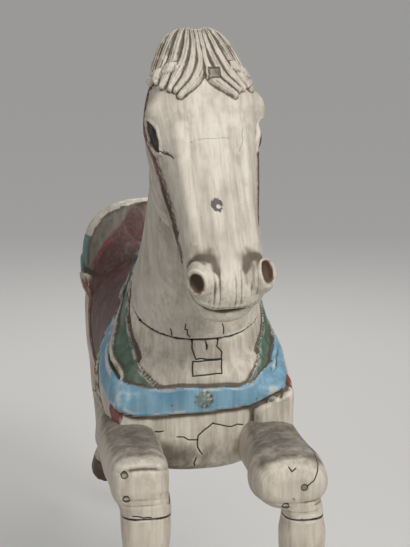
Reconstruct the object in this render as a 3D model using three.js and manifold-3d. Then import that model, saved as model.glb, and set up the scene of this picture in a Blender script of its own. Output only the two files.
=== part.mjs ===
// A carved and painted carousel horse at the gallop, held up on a low stand.
//
// Millimetres, +Z up. The horse faces -Y and its left side is on +X. The origin is the middle of
// the underside of the stand's base. The horse is glued up from blocks of wood: a trunk, one block
// for the neck and head, two for each leg and one for the tail. The forms are lofts through rings.

import * as THREE from 'three';
import { LoftGeometry } from 'three/addons/geometries/LoftGeometry.js';
import { mergeVertices } from 'three/addons/utils/BufferGeometryUtils.js';
import Module from 'manifold-3d';

const wasm = await Module();
wasm.setup();

// ---- driving dimensions ------------------------------------------------------------------------

const GLUE_LINE = 0.3; // space left at every joint between two pieces
const BREAST_HEIGHT = 665; // rosette of the breast strap above the floor
const BREAST_FORWARD = 430; // rosette in front of the middle of the base

const BASE = { length: 620, width: 360, height: 60, edge: 8 };
const POST = { radius: 16, back: 520 };
const BASE_SOCKET = { radius: 62, plate: 9, slope: 6, hub: 30, taper: 4, height: 48 };
const BELLY_SOCKET = {
	radius: 52, plate: 14, rim: 4, slope: 6, hub: 28, taper: 3, height: 34, drop: 122, pad: 20,
};

const HEAD = { pitch: 55, turn: 3, x: 6, y: -20, z: 455 }; // brow of the face, nose down by the pitch
const NECK_JOINT = { y: 0, z: 90, lean: 29 }; // glue plane, rising towards the withers
const SHIN_JOINT = - 117; // glue plane below each fore knee
const SHIN_ROOM = { width: 76, height: 40, forward: 150 };
const HOCK_JOINT = - 228; // glue plane below each hock
const GASKIN_JOINT = { y: 738, z: -112, lean: 42 }; // glue plane between thigh and gaskin

const STRAP_RAISE = 6;
const COLLAR_RAISE = 4;
const FLAP_RAISE = 7;
const FLAP_RIM = { raise: 12, width: 15, end: 500, lean: 0.2 };
const BRIDLE_RAISE = 3;
const MOUTH_DEPTH = 4.5;
const PAINT = { cream: 0xcfc4b0, tail: 0x4a4038 };
const FINISH = { stain: 0x2b2622, steel: 0x3a3a3c, iron: 0x2e2e30 };
const LOCKS_A_SIDE = 4;
const MANE_LOCKS = 5;

// ---- shaping tools -----------------------------------------------------------------------------

const radians = THREE.MathUtils.degToRad;

// One ring of a loft. Its middle is ( x, y, z ) and its plane is turned about X: at turn 0 it
// stands upright across the horse, at 90 it lies flat with its over side to the front. half is
// half its width, over and under reach from the middle to its two edges. square 2 is an ellipse
// and more is boxier. flare widens the over side and narrows the under side.
function ring( y, z, turn, half, over, under, square = 2.3, flare = 0, x = 0 ) {

	return [ x, y, z, turn, half, over, under, square, flare ];

}

function ringPoints( values, sides, grow ) {

	const [ x, y, z, turn, half, over, under, square, flare ] = values;
	const points = [];

	for ( let i = 0; i < sides; i ++ ) {

		const angle = - 2 * Math.PI * ( i + 0.5 ) / sides;
		const bend = ( v ) => Math.sign( v ) * Math.abs( v ) ** ( 2 / square );
		const across = bend( Math.cos( angle ) );
		const along = bend( Math.sin( angle ) );
		const reach = along * ( ( along > 0 ? over : under ) + grow );
		const width = across * ( half + grow ) * ( 1 + flare * along );
		const tilt = radians( turn );
		points.push( new THREE.Vector3(
			x + width, y - reach * Math.sin( tilt ), z + reach * Math.cos( tilt ),
		) );

	}

	return points;

}

// A body through rings listed from front to back, or from the ground up. grow swells it all round.
function loft( rings, { sides = 12, grow = 0 } = {} ) {

	const sections = rings.map( ( values, i ) => {

		const [ x, y, z, turn, ...rest ] = values;
		const push = i === 0 ? - grow : i === rings.length - 1 ? grow : 0;
		const tilt = radians( turn );
		const moved = [ x, y + push * Math.cos( tilt ), z + push * Math.sin( tilt ), turn, ...rest ];
		return ringPoints( moved, sides, grow );

	} );
	return solid( new LoftGeometry( sections, { capStart: true, capEnd: true } ) );

}

// A carved strand along a smooth line of points, as wide as radius( t ) says from 0 to 1.
function strand( points, radius, { steps = 6, sides = 5, matrix = null } = {} ) {

	const curve = new THREE.CatmullRomCurve3( points.map( ( p ) => new THREE.Vector3( ...p ) ) );
	const frames = curve.computeFrenetFrames( steps );
	const sections = [];

	for ( let i = 0; i <= steps; i ++ ) {

		const middle = curve.getPointAt( i / steps );
		const section = [];

		for ( let j = 0; j < sides; j ++ ) {

			const angle = 2 * Math.PI * j / sides;
			const offset = frames.normals[ i ].clone().multiplyScalar( Math.cos( angle ) );
			offset.addScaledVector( frames.binormals[ i ], Math.sin( angle ) );
			section.push( middle.clone().addScaledVector( offset, radius( i / steps ) ) );

		}

		sections.push( section );

	}

	const geometry = new LoftGeometry( sections, { capStart: true, capEnd: true } );
	return solid( matrix ? geometry.applyMatrix4( matrix ) : geometry );

}

// Turns a closed three.js geometry into a solid that can be joined and cut.
function solid( geometry ) {

	const bare = new THREE.BufferGeometry();
	bare.setAttribute( 'position', geometry.getAttribute( 'position' ) );
	bare.setIndex( geometry.index );
	const merged = mergeVertices( bare, 1e-3 );
	const mesh = new wasm.Mesh( {
		numProp: 3,
		vertProperties: merged.getAttribute( 'position' ).array,
		triVerts: Uint32Array.from( merged.index.array ),
	} );
	const body = new wasm.Manifold( mesh );
	return body.volume() < 0 ? solid( flipped( merged ) ) : body;

}

function flipped( geometry ) {

	const index = Array.from( geometry.index.array );

	for ( let i = 0; i < index.length; i += 3 ) [ index[ i ], index[ i + 1 ] ] = [ index[ i + 1 ], index[ i ] ];

	return geometry.clone().setIndex( index );

}

function ellipsoid( x, y, z, rx, ry, rz, matrix = null ) {

	const ball = new THREE.SphereGeometry( 1, 10, 6 ).scale( rx, ry, rz ).translate( x, y, z );
	return solid( matrix ? ball.applyMatrix4( matrix ) : ball );

}

// A slab across the whole horse with its outline drawn in side view, from [ y, z ] points.
function sideSlab( outline, reach = 300 ) {

	const shape = new THREE.Shape( outline.map( ( [ y, z ] ) => new THREE.Vector2( y, z ) ) );
	const slab = new THREE.ExtrudeGeometry( shape, { depth: 2 * reach, bevelEnabled: false } );
	const sideways = new THREE.Matrix4().set( 0, 0, 1, - reach, 1, 0, 0, 0, 0, 1, 0, 0, 0, 0, 0, 1 );
	return solid( slab.applyMatrix4( sideways ) );

}

// Direction and offset of a plane across the horse whose normal leans forward from straight up.
function plane( { y, z, lean } ) {

	const normal = [ 0, - Math.sin( radians( lean ) ), Math.cos( radians( lean ) ) ];
	return { normal, offset: normal[ 1 ] * y + normal[ 2 ] * z };

}

function above( body, { normal, offset }, gap = 0 ) {

	return body.trimByPlane( normal, offset + gap );

}

function below( body, { normal, offset }, gap = 0 ) {

	return body.trimByPlane( normal.map( ( n ) => - n ), gap - offset );

}

const join = ( ...bodies ) => wasm.Manifold.union( bodies );

// ---- trunk, neck and head, from here on measured from the rosette of the breast strap ----------

const TRUNK = [
	ring( - 4, - 16, 0, 92, 52, 52, 2.6 ),
	ring( 6, - 16, 0, 118, 76, 82, 2.8 ),
	ring( 30, - 12, 0, 134, 96, 114, 2.6 ),
	ring( 72, - 4, 0, 148, 116, 132, 2.4 ),
	ring( 130, 0, 0, 144, 130, 139 ),
	ring( 220, 0, 0, 134, 142, 144 ),
	ring( 320, - 5, 0, 130, 138, 144 ),
	ring( 430, - 5, 0, 132, 135, 138 ),
	ring( 540, 2, 0, 130, 136, 125 ),
	ring( 640, 15, 0, 122, 132, 108 ),
	ring( 730, 25, 0, 120, 116, 92 ),
	ring( 810, 20, 0, 100, 92, 75 ),
	ring( 860, 12, 0, 70, 62, 50 ),
	ring( 882, 8, 0, 36, 30, 26 ),
];

const NECK = [
	ring( 110, 20, 90, 120, 110, 140 ),
	ring( 112, 88, 84, 112, 108, 152 ),
	ring( 116, 147, 80, 98, 112, 142 ),
	ring( 122, 210, 78, 80, 114, 128, 2.2 ),
	ring( 124, 294, 76, 65, 104, 116, 2.2 ),
	ring( 114, 370, 72, 57, 86, 104, 2.2 ),
	ring( 98, 440, 64, 50, 66, 86, 2.2 ),
	ring( 76, 500, 54, 42, 46, 58, 2.2 ),
];

// In the head's own frame: y runs back from the brow to the poll, z stands out of the face.
const FACE = [
	ring( - 312, - 44, 0, 34, 18, 18, 2.3 ),
	ring( - 302, - 44, 0, 47, 33, 28, 2.4 ),
	ring( - 284, - 44, 0, 54, 42, 36, 2.5 ),
	ring( - 255, - 46, 0, 57, 46, 40, 2.5, 0.04 ),
	ring( - 222, - 50, 0, 56, 47, 46, 2.6, 0.1 ),
	ring( - 185, - 58, 0, 59, 54, 54, 2.7, 0.12 ),
	ring( - 140, - 66, 0, 65, 62, 68, 2.8, 0.06 ),
	ring( - 90, - 76, 0, 73, 73, 84, 2.8, - 0.04 ),
	ring( - 45, - 78, 0, 77, 78, 88, 2.7, - 0.03 ),
	ring( 0, - 74, 0, 82, 77, 86, 2.6, 0.05 ),
	ring( 35, - 64, 0, 77, 72, 82, 2.4 ),
	ring( 75, - 56, 0, 67, 66, 78, 2.2 ),
	ring( 108, - 50, 0, 54, 54, 68, 2.2 ),
	ring( 130, - 47, 0, 36, 38, 48, 2.1 ),
	ring( 141, - 46, 0, 16, 18, 24, 2 ),
];

const headFrame = new THREE.Matrix4().makeTranslation( HEAD.x, HEAD.y, HEAD.z )
	.multiply( new THREE.Matrix4().makeRotationZ( radians( HEAD.turn ) ) )
	.multiply( new THREE.Matrix4().makeRotationX( radians( HEAD.pitch ) ) );

function headLoft( grow = 0 ) {

	const skull = loft( FACE, { sides: 20, grow } );
	return skull.transform( headFrame.elements );

}

function neckLoft( grow = 0 ) {

	return loft( NECK, { sides: 16, grow } );

}

// The squared shoulder that stands out of the breast above each foreleg.
function shoulder( side, grow = 0 ) {

	const x = side * 105;
	return loft( [
		ring( - 6, - 14, 0, 24, 26, 36, 4, 0, x ),
		ring( 8, - 12, 0, 29, 40, 42, 3.6, 0, x ),
		ring( 40, - 8, 0, 38, 58, 48, 3, 0, x ),
		ring( 80, - 6, 0, 44, 70, 56, 2.6, 0, x ),
		ring( 190, 0, 0, 30, 56, 60, 2.2, 0, x ),
	], { grow } );

}

// The whole hind leg from the hoof up to the thigh, whose top lies inside the rump.
const HIND_LEG = [
	ring( 884, - 444, 120, 36, 42, 32 ),
	ring( 861, - 406, 120, 29, 30, 26 ),
	ring( 846, - 381, 118, 22, 20, 21 ),
	ring( 832, - 354, 112, 27, 24, 27 ),
	ring( 820, - 318, 104, 25, 21, 22 ),
	ring( 806, - 262, 103, 27, 22, 24 ),
	ring( 796, - 212, 101, 31, 30, 34 ),
	ring( 786, - 180, 104, 33, 33, 43 ),
	ring( 762, - 144, 124, 37, 40, 40 ),
	ring( 728, - 108, 132, 43, 54, 50 ),
	ring( 704, - 66, 124, 48, 78, 66 ),
	ring( 694, - 14, 106, 50, 92, 88 ),
	ring( 692, 46, 94, 40, 60, 60 ),
];

function hindLeg( side, grow = 0 ) {

	const spread = [ 72, 73, 74, 75, 76, 78, 80, 80, 80, 80, 79, 78, 76 ];
	const back = ( i ) => side > 0 ? 36 * Math.max( 0, 1 - i / 8 ) : 0;
	return loft( HIND_LEG.map( ( [ x, y, z, ...rest ], i ) => [
		side * spread[ i ], y + back( i ), z + 0.8 * back( i ), ...rest,
	] ), { grow } );

}

function body( grow = 0 ) {

	const thighs = [ - 1, 1 ].map( ( side ) => above( hindLeg( side, grow ), plane( GASKIN_JOINT ), - grow ) );
	const front = [ - 1, 1 ].map( ( side ) => shoulder( side, grow ) );
	const neckRoot = below( neckLoft( grow ), plane( NECK_JOINT ), - grow );
	return join( loft( TRUNK, { sides: 20, grow } ), neckRoot, ...thighs, ...front );

}

// ---- harness and saddle ------------------------------------------------------------------------

const STRAP_OUTLINE = [
	[ - 60, - 24 ], [ 20, - 24 ], [ 70, - 20 ], [ 120, 0 ], [ 168, 42 ], [ 212, 100 ],
	[ 186, 130 ], [ 136, 76 ], [ 92, 36 ], [ 50, 20 ], [ - 60, 20 ],
];

const COLLAR_OUTLINE = [
	[ 12, - 5 ], [ 36, 70 ], [ 78, 150 ], [ 150, 230 ], [ 210, 250 ], [ 190, 160 ], [ 120, 70 ], [ 84, 0 ],
];

const FLAP_OUTLINE = [
	[ 160, 200 ], [ 128, 90 ], [ 114, 0 ], [ 140, - 60 ], [ 266, - 78 ], [ 350, - 72 ], [ 412, - 24 ],
	[ 470, 50 ], [ 560, 90 ], [ 575, 170 ], [ 400, 230 ],
];

function inset( outline, width ) {

	const middle = outline.reduce( ( sum, p ) => [ sum[ 0 ] + p[ 0 ], sum[ 1 ] + p[ 1 ] ], [ 0, 0 ] )
		.map( ( v ) => v / outline.length );
	return outline.map( ( p ) => {

		const away = new THREE.Vector2( p[ 0 ] - middle[ 0 ], p[ 1 ] - middle[ 1 ] );
		away.setLength( away.length() - width );
		return [ middle[ 0 ] + away.x, middle[ 1 ] + away.y ];

	} );

}

function cantle() {

	const plate = loft( [
		ring( 470, 60, 0, 118, 84, 60, 2.4 ),
		ring( 515, 80, 0, 134, 118, 80, 2.6 ),
		ring( 552, 100, 0, 145, 131, 90, 2.75 ),
		ring( 566, 100, 0, 145, 130, 90, 2.75 ),
		ring( 584, 90, 0, 134, 96, 80, 2.5 ),
	], { sides: 20 } );
	const dish = ellipsoid( 0, 430, 262, 134, 125, 128 );
	return plate.subtract( dish );

}

function pommel() {

	return loft( [
		ring( 176, 60, 0, 60, 78, 40 ),
		ring( 196, 60, 0, 80, 104, 50 ),
		ring( 222, 60, 0, 90, 108, 50 ),
		ring( 262, 60, 0, 96, 74, 50 ),
	] );

}

function trunk() {

	const strap = body( STRAP_RAISE ).intersect( sideSlab( STRAP_OUTLINE ) );
	const collar = body( COLLAR_RAISE ).intersect( sideSlab( COLLAR_OUTLINE ) );
	const flaps = body( FLAP_RAISE ).intersect( sideSlab( FLAP_OUTLINE ) );
	const rim = body( FLAP_RIM.raise ).intersect( sideSlab( FLAP_OUTLINE ) )
		.subtract( sideSlab( inset( FLAP_OUTLINE, FLAP_RIM.width ), 320 ) )
		.trimByPlane( [ 0, - 1, - FLAP_RIM.lean ], - FLAP_RIM.end );
	const rosette = ellipsoid( 0, - 10, 0, 12, 5, 12 );
	const whole = join( body(), strap, collar, flaps, rim, cantle(), pommel(), rosette );
	return below( whole, plane( NECK_JOINT ) );

}

// ---- neck and head -----------------------------------------------------------------------------

// Forelock: locks fanned from the poll, laid down and outwards over the forehead.
function forelock( side ) {

	const locks = [];

	for ( let i = 0; i < LOCKS_A_SIDE; i ++ ) {

		const out = i / ( LOCKS_A_SIDE - 1 );
		const end = [ side * ( 50 + 22 * out ), 8 + 48 * out, 2 - 22 * out ];
		const bend = [ side * ( 20 + 46 * out ), 44 + 24 * out, 12 - 24 * out ];
		const start = [ side * ( 8 + 40 * out ), 92 - 2 * out, 7 - 20 * out ];
		const root = [ side * ( 5 + 20 * out ), 136 - 8 * out, - 12 - 10 * out ];
		const thickness = ( t ) => 5 + 8 * Math.sin( Math.PI * ( 0.14 + 0.7 * t ) );
		const path = [ root, start, bend, end ];
		locks.push( strand( path, thickness, { steps: 5, sides: 4, matrix: headFrame } ) );

	}

	return locks;

}

// Ears laid flat back along the neck, behind the forelock.
function ear( side ) {

	const points = [
		[ side * 44, 74, - 34 ], [ side * 46, 100, - 50 ],
		[ side * 40, 124, - 78 ], [ side * 32, 142, - 108 ],
	];
	const thickness = ( t ) => 4 + 11 * Math.sin( Math.PI * ( 0.25 + 0.7 * t ) );
	return strand( points, thickness, { steps: 4, matrix: headFrame } );

}

// Locks of the mane, which falls from the crest on to the left side of the neck.
function mane() {

	const locks = [];

	for ( let i = 0; i < MANE_LOCKS; i ++ ) {

		const down = i / ( MANE_LOCKS - 1 );
		const y = 124 + 122 * Math.sin( 0.5 * Math.PI * down );
		const z = 506 - 280 * down;
		const wide = 40 + 36 * down;
		const points = [
			[ - 10, y - 2, z + 18 ],
			[ wide * 0.5, y - 4, z ],
			[ wide * 0.95, y - 22, z - 34 ],
			[ wide * 1.04, y - 30, z - 76 ],
		];
		const thickness = ( t ) => 9 + 18 * Math.sin( Math.PI * ( 0.2 + 0.72 * t ) );
		locks.push( strand( points, thickness, { steps: 4, sides: 4 } ) );

	}

	return locks;

}

const BRIDLE_OUTLINE = [
	[ 78, 60 ], [ 96, 60 ], [ 92, - 10 ], [ 70, - 50 ], [ 0, - 70 ], [ - 100, - 62 ], [ - 258, - 50 ],
	[ - 258, - 34 ], [ - 100, - 44 ], [ 0, - 52 ], [ 58, - 36 ], [ 76, - 6 ],
];

// Back from the brow and out of the face, from the middle to one corner.
const MOUTH_LINE = [ [ - 314, - 58 ], [ - 308, - 56 ], [ - 288, - 52 ], [ - 252, - 46 ] ];

function neckAndHead() {

	const raised = [ ...forelock( - 1 ), ...forelock( 1 ), ear( - 1 ), ear( 1 ), ...mane() ];
	const bridleSlab = sideSlab( BRIDLE_OUTLINE ).transform( headFrame.elements );
	const bridle = headLoft( BRIDLE_RAISE ).intersect( bridleSlab );
	const cuts = [];

	for ( const side of [ - 1, 1 ] ) {

		const put = ( x, y, z, rx, ry, rz ) => ellipsoid( side * x, y, z, rx, ry, rz, headFrame );
		raised.push( put( 57, 10, - 26, 34, 22, 26 ) ); // brow bone
		raised.push( put( 70, - 40, - 38, 12, 21, 16 ) ); // eyeball
		raised.push( put( 40, - 266, - 14, 25, 32, 27 ) ); // flared nostril
		raised.push( put( 32, - 78, - 98, 48, 76, 68 ) ); // round cheek
		cuts.push( put( 49, - 288, - 6, 11, 13, 13 ) ); // nostril opening

	}

	const chin = ellipsoid( 0, - 282, - 76, 34, 30, 16, headFrame );
	const mouth = [ - 60, - 52, - 30, 0, 30, 52, 60 ].map( ( x, i ) => {

		const [ y, z ] = MOUTH_LINE[ Math.abs( i - 3 ) ];
		return [ x, y, z ];

	} );
	cuts.push( strand( mouth, () => MOUTH_DEPTH, { steps: 8, sides: 3, matrix: headFrame } ) );

	const whole = join( neckLoft(), headLoft(), bridle, chin, ...raised ).subtract( join( ...cuts ) );
	return above( whole, plane( NECK_JOINT ), GLUE_LINE );

}

// ---- legs --------------------------------------------------------------------------------------

// A foreleg with its forearm level and its shin hanging from the bent knee. reach moves the knee
// forward. root, knee and shin are sideways places, half is half the width of the knee.
function foreleg( { reach, root, knee, shin, half } ) {

	const at = ( y, z, turn, width, over, under, square, x ) =>
		ring( y - reach, z, turn, width, over, under, square, 0, x );
	const forearm = loft( [
		at( - 176, - 62, 0, half - 16, 24, 20, 2.3, knee ),
		at( - 166, - 64, 0, half - 5, 33, 32, 2.5, knee ),
		at( - 135, - 66, 0, half, 38, 42, 2.6, knee ),
		at( - 80, - 72, 0, ( half + 47 ) / 2, 40, 44, 2.7, ( knee + root ) / 2 ),
		ring( - 30, - 78, 0, 46, 42, 48, 2.7, 0, root ),
		ring( 40, - 78, 0, 46, 46, 52, 2.4, 0, root ),
		ring( 110, - 60, 0, 38, 40, 50, 2.2, 0, root ),
	] );
	const hanging = loft( [
		at( - 84, - 384, 122, 36, 44, 34, 2.2, shin ),
		at( - 110, - 346, 120, 29, 30, 27, 2.2, shin ),
		at( - 126, - 320, 116, 23, 21, 21, 2.2, shin ),
		at( - 140, - 290, 102, 28, 25, 28, 2.3, shin ),
		at( - 146, - 255, 93, 28, 22, 23, 2.4, shin ),
		at( - 149, - 190, 90, 31, 25, 26, 2.5, shin ),
		at( - 150, - 132, 90, 33, 30, 32, 2.6, shin ),
		at( - 148, - 98, 88, 36, 34, 38, 2.5, shin ),
		at( - 142, - 62, 84, 34, 30, 40, 2.3, knee ),
	] );
	const joint = plane( { y: 0, z: SHIN_JOINT, lean: 0 } );
	const upper = join( forearm, above( hanging, joint, GLUE_LINE ) ).subtract( body( GLUE_LINE ) );
	return { upper: upper.subtract( shinRoom( reach, shin ) ), lower: below( hanging, joint ) };

}

// The room that the top of the shin needs under the forearm.
function shinRoom( reach, shin ) {

	const { width, height, forward } = SHIN_ROOM;
	const box = new THREE.BoxGeometry( width, width, height );
	return solid( box.translate( shin, - forward - reach, SHIN_JOINT + GLUE_LINE - height / 2 ) );

}

function hindLegBlocks( side ) {

	const leg = below( hindLeg( side ), plane( GASKIN_JOINT ), GLUE_LINE );
	const joint = plane( { y: 0, z: HOCK_JOINT, lean: 0 } );
	return { upper: above( leg, joint, GLUE_LINE ), lower: below( leg, joint ) };

}

// ---- tail --------------------------------------------------------------------------------------

function tail() {

	const strands = [ - 1, 0, 1 ].map( ( side ) => strand( [
		[ side * 4, 862, 58 ],
		[ side * 9, 912, 54 ],
		[ side * 15, 944, - 10 ],
		[ side * 20, 948, - 110 ],
		[ side * 9, 926, - 200 - 30 * ( side === 0 ) ],
		[ side * 3, 904, - 262 - 20 * ( side === 0 ) ],
	], ( t ) => 6 + 20 * Math.sin( Math.PI * ( 0.22 + 0.72 * t ) ) ) );
	return join( ...strands ).subtract( body( GLUE_LINE ) );

}

// ---- the pieces --------------------------------------------------------------------------------

function piece( name, geometry, color, roughness, metalness = 0 ) {

	const finish = new THREE.MeshStandardMaterial( { color, roughness, metalness } );
	const mesh = new THREE.Mesh( geometry, finish );
	mesh.name = name;
	return mesh;

}

function carved( name, blockSolid, color = PAINT.cream ) {

	const { vertProperties, triVerts, numProp } = blockSolid.getMesh();
	const geometry = new THREE.BufferGeometry();
	geometry.setAttribute( 'position', new THREE.BufferAttribute( vertProperties.slice(), numProp ) );
	geometry.setIndex( new THREE.BufferAttribute( triVerts.slice(), 1 ) );
	geometry.computeVertexNormals();
	return piece( name, geometry, color, 0.62 );

}

function horse() {

	const group = new THREE.Group();
	group.position.set( 0, - BREAST_FORWARD, BREAST_HEIGHT );
	group.add( carved( 'trunk', trunk() ) );
	group.add( carved( 'neck_and_head', neckAndHead() ) );

	const forelegs = {
		foreleg_right: foreleg( { reach: 0, root: - 114, knee: - 116, shin: - 108, half: 43 } ),
		foreleg_left: foreleg( { reach: 40, root: 105, knee: 96, shin: 115, half: 54 } ),
		hind_leg_right: hindLegBlocks( - 1 ),
		hind_leg_left: hindLegBlocks( 1 ),
	};

	for ( const [ name, { upper, lower } ] of Object.entries( forelegs ) ) {

		group.add( carved( `${ name }_upper`, upper ), carved( `${ name }_lower`, lower ) );

	}

	group.add( carved( 'tail', tail(), PAINT.tail ) );
	return group;

}

function turned( profile ) {

	const points = profile.map( ( [ radius, height ] ) => new THREE.Vector2( radius, height ) );
	return new THREE.LatheGeometry( points, 16 ).rotateX( Math.PI / 2 );

}

function stand() {

	const group = new THREE.Group();
	const postY = POST.back - BREAST_FORWARD;
	const bellySocketZ = BREAST_HEIGHT - BELLY_SOCKET.drop - BELLY_SOCKET.height;
	const bore = POST.radius + GLUE_LINE;

	const outline = new THREE.Shape();
	const halfWidth = BASE.width / 2 - BASE.edge;
	const halfLength = BASE.length / 2 - BASE.edge;
	outline.moveTo( - halfWidth, - halfLength ).lineTo( halfWidth, - halfLength );
	outline.lineTo( halfWidth, halfLength ).lineTo( - halfWidth, halfLength ).closePath();
	const block = new THREE.ExtrudeGeometry( outline, {
		depth: BASE.height - 2 * BASE.edge,
		bevelThickness: BASE.edge,
		bevelSize: BASE.edge,
		bevelSegments: 3,
	} );
	block.translate( 0, 0, BASE.edge );
	group.add( piece( 'stand_base', block, FINISH.stain, 0.6 ) );

	const postFoot = BASE.height + GLUE_LINE;
	const postHeight = bellySocketZ + BELLY_SOCKET.height - BELLY_SOCKET.plate - postFoot;
	const post = new THREE.CylinderGeometry( POST.radius, POST.radius, postHeight, 16 ).rotateX( Math.PI / 2 );
	const postMesh = piece( 'stand_post', post, FINISH.steel, 0.45, 0.8 );
	postMesh.position.set( 0, postY, postFoot + postHeight / 2 );
	group.add( postMesh );

	const baseSocket = piece( 'base_socket', turned( [
		[ bore, 0 ], [ BASE_SOCKET.radius, 0 ], [ BASE_SOCKET.radius, BASE_SOCKET.plate ],
		[ BASE_SOCKET.hub, BASE_SOCKET.plate + BASE_SOCKET.slope ],
		[ BASE_SOCKET.hub - BASE_SOCKET.taper, BASE_SOCKET.height ],
		[ bore, BASE_SOCKET.height ], [ bore, 0 ],
	] ), FINISH.iron, 0.6, 0.7 );
	baseSocket.position.set( 0, postY, BASE.height + GLUE_LINE );
	group.add( baseSocket );

	// The belly socket is a cup over the post's end, with a pad cut to the curve of the belly.
	const { radius, plate, rim, slope, hub, taper, height, drop, pad } = BELLY_SOCKET;
	const cup = solid( turned( [
		[ 0, height + pad ], [ radius, height + pad ], [ radius, height - plate + rim ],
		[ hub, height - plate + rim - slope ], [ hub - taper, 0 ], [ bore, 0 ],
		[ bore, height - plate + GLUE_LINE ], [ 0, height - plate + GLUE_LINE ],
	].reverse() ).translate( 0, POST.back, - drop - height ) );
	const bellySocket = carved( 'belly_socket', cup.subtract( body( GLUE_LINE ) ), FINISH.iron );
	bellySocket.position.set( 0, - BREAST_FORWARD, BREAST_HEIGHT );
	group.add( bellySocket );
	return group;

}

const carouselHorse = new THREE.Group();
carouselHorse.add( horse(), stand() );

export default carouselHorse;
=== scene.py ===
import math
from functools import partial

import bmesh
import bpy
import numpy as np
from mathutils import Matrix, Vector
from mathutils.bvhtree import BVHTree


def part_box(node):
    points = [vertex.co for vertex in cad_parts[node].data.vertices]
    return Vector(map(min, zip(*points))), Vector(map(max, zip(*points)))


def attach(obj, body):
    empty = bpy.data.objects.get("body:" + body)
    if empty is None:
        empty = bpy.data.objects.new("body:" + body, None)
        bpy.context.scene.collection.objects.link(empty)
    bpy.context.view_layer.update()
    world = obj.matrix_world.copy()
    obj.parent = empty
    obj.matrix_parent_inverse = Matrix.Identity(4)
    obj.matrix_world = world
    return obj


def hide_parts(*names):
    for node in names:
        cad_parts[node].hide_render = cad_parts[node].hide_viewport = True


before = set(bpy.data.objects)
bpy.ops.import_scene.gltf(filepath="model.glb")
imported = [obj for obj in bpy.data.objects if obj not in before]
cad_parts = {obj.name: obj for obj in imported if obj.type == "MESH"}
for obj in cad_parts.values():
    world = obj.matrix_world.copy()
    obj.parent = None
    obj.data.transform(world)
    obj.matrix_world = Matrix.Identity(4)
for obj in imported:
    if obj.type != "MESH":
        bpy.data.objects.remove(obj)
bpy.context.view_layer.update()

# ---- Low stand ---------------------------------------------------------------------------------
# A plain block of dark stained beech, a turned steel post and two cast iron sockets. The post drops
# into the socket on the block, and the upper socket is screwed under the horse's belly.


def linear(code):
    """An sRGB hex colour as linear RGBA."""
    parts = [int(code[i : i + 2], 16) / 255 for i in (1, 3, 5)]
    return [p / 12.92 if p <= 0.04045 else ((p + 0.055) / 1.055) ** 2.4 for p in parts] + [1.0]


def feed(material, node, links):
    """Gives a node's inputs, by name or number, a number, a colour or another node's output."""
    for place, value in links.items():
        if isinstance(value, bpy.types.NodeSocket):
            material.node_tree.links.new(value, node.inputs[place])
        else:
            node.inputs[place].default_value = value


def add(material, kind, out, links, **settings):
    """Adds one node with its settings and links, and returns one of its outputs."""
    node = material.node_tree.nodes.new("ShaderNode" + kind)
    for name, value in settings.items():
        setattr(node, name, value)
    feed(material, node, links)
    return node.outputs[out]


def bare_material(name):
    """A new material and its Principled shader."""
    material = bpy.data.materials.new(name)
    material.use_nodes = True
    return material, material.node_tree.nodes["Principled BSDF"]


# Stained beech: short fine grain along the block under a thin varnish, so dark brown streaks with
# a dull sheen.
BEECH_GRAIN = 3.85  # mm
beech, shader = bare_material("stained_beech")
where = add(beech, "TexCoord", "Object", {})
along = add(beech, "Mapping", 0, {"Vector": where, "Scale": (1.0, 0.06, 1.0)})
grain = add(beech, "TexNoise", 0, {"Vector": along, "Scale": 1000 / BEECH_GRAIN, "Detail": 6.0,
                                   "Roughness": 0.65})
stain = add(beech, "MapRange", 0, {"Value": grain, "From Min": 0.35, "From Max": 0.7})
browns = {0: stain, 6: linear("#1c1613"), 7: linear("#3a2a20")}
tone = add(beech, "Mix", 2, browns, data_type="RGBA")
relief = add(beech, "Bump", 0, {"Height": grain, "Strength": 0.2, "Distance": 0.001})
feed(beech, shader, {"Base Color": tone, "Roughness": 0.5, "Normal": relief})

# Blackened steel bar: drawn and rubbed, so a dark grey shine with fine lines along it.
DRAWN_LINES, STEEL_BLOOM = 1.11, 28.6  # mm
steel, shader = bare_material("blackened_steel")
where = add(steel, "TexCoord", "Object", {})
drawn = add(steel, "Mapping", 0, {"Vector": where, "Scale": (1.0, 1.0, 0.03)})
lines = add(steel, "TexNoise", 0, {"Vector": drawn, "Scale": 1000 / DRAWN_LINES, "Detail": 3.0})
bloom = add(steel, "TexNoise", 0, {"Vector": where, "Scale": 1000 / STEEL_BLOOM, "Detail": 4.0})
greys = {0: bloom, 6: linear("#2d2e31"), 7: linear("#5a5a5c")}
tone = add(steel, "Mix", 2, greys, data_type="RGBA")
relief = add(steel, "Bump", 0, {"Height": lines, "Strength": 0.15, "Distance": 0.0005})
feed(steel, shader, {"Base Color": tone, "Metallic": 1.0, "Roughness": 0.4, "Normal": relief})

# Cast iron under black stove paint: the grain of the casting sand shows as a fine dull pebbling.
SAND = 1.43  # mm
iron, shader = bare_material("painted_cast_iron")
where = add(iron, "TexCoord", "Object", {})
sand = add(iron, "TexNoise", 0, {"Vector": where, "Scale": 1000 / SAND, "Detail": 3.0})
blacks = {0: sand, 6: linear("#1b1b1c"), 7: linear("#3b3836")}
tone = add(iron, "Mix", 2, blacks, data_type="RGBA")
relief = add(iron, "Bump", 0, {"Height": sand, "Strength": 0.5, "Distance": 0.0008})
feed(iron, shader, {"Base Color": tone, "Metallic": 0.3, "Roughness": 0.55, "Normal": relief})

for node, finish, slot in (
    ("stand_base", beech, "stained_wood"),
    ("stand_post", steel, "post_steel"),
    ("base_socket", iron, "socket_iron"),
    ("belly_socket", iron, "socket_iron"),
):
    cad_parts[node].data.materials.clear()
    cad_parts[node].data.materials.append(finish)

# ---- Trunk -------------------------------------------------------------------------------------
# The body block of lime wood, with breast strap, collar cloth, saddle, cantle, shoulders and thighs
# carved out of it. Forms are worked in millimetres from the rosette of the breast strap, and the
# horse faces -y with its left side at +x.


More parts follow.
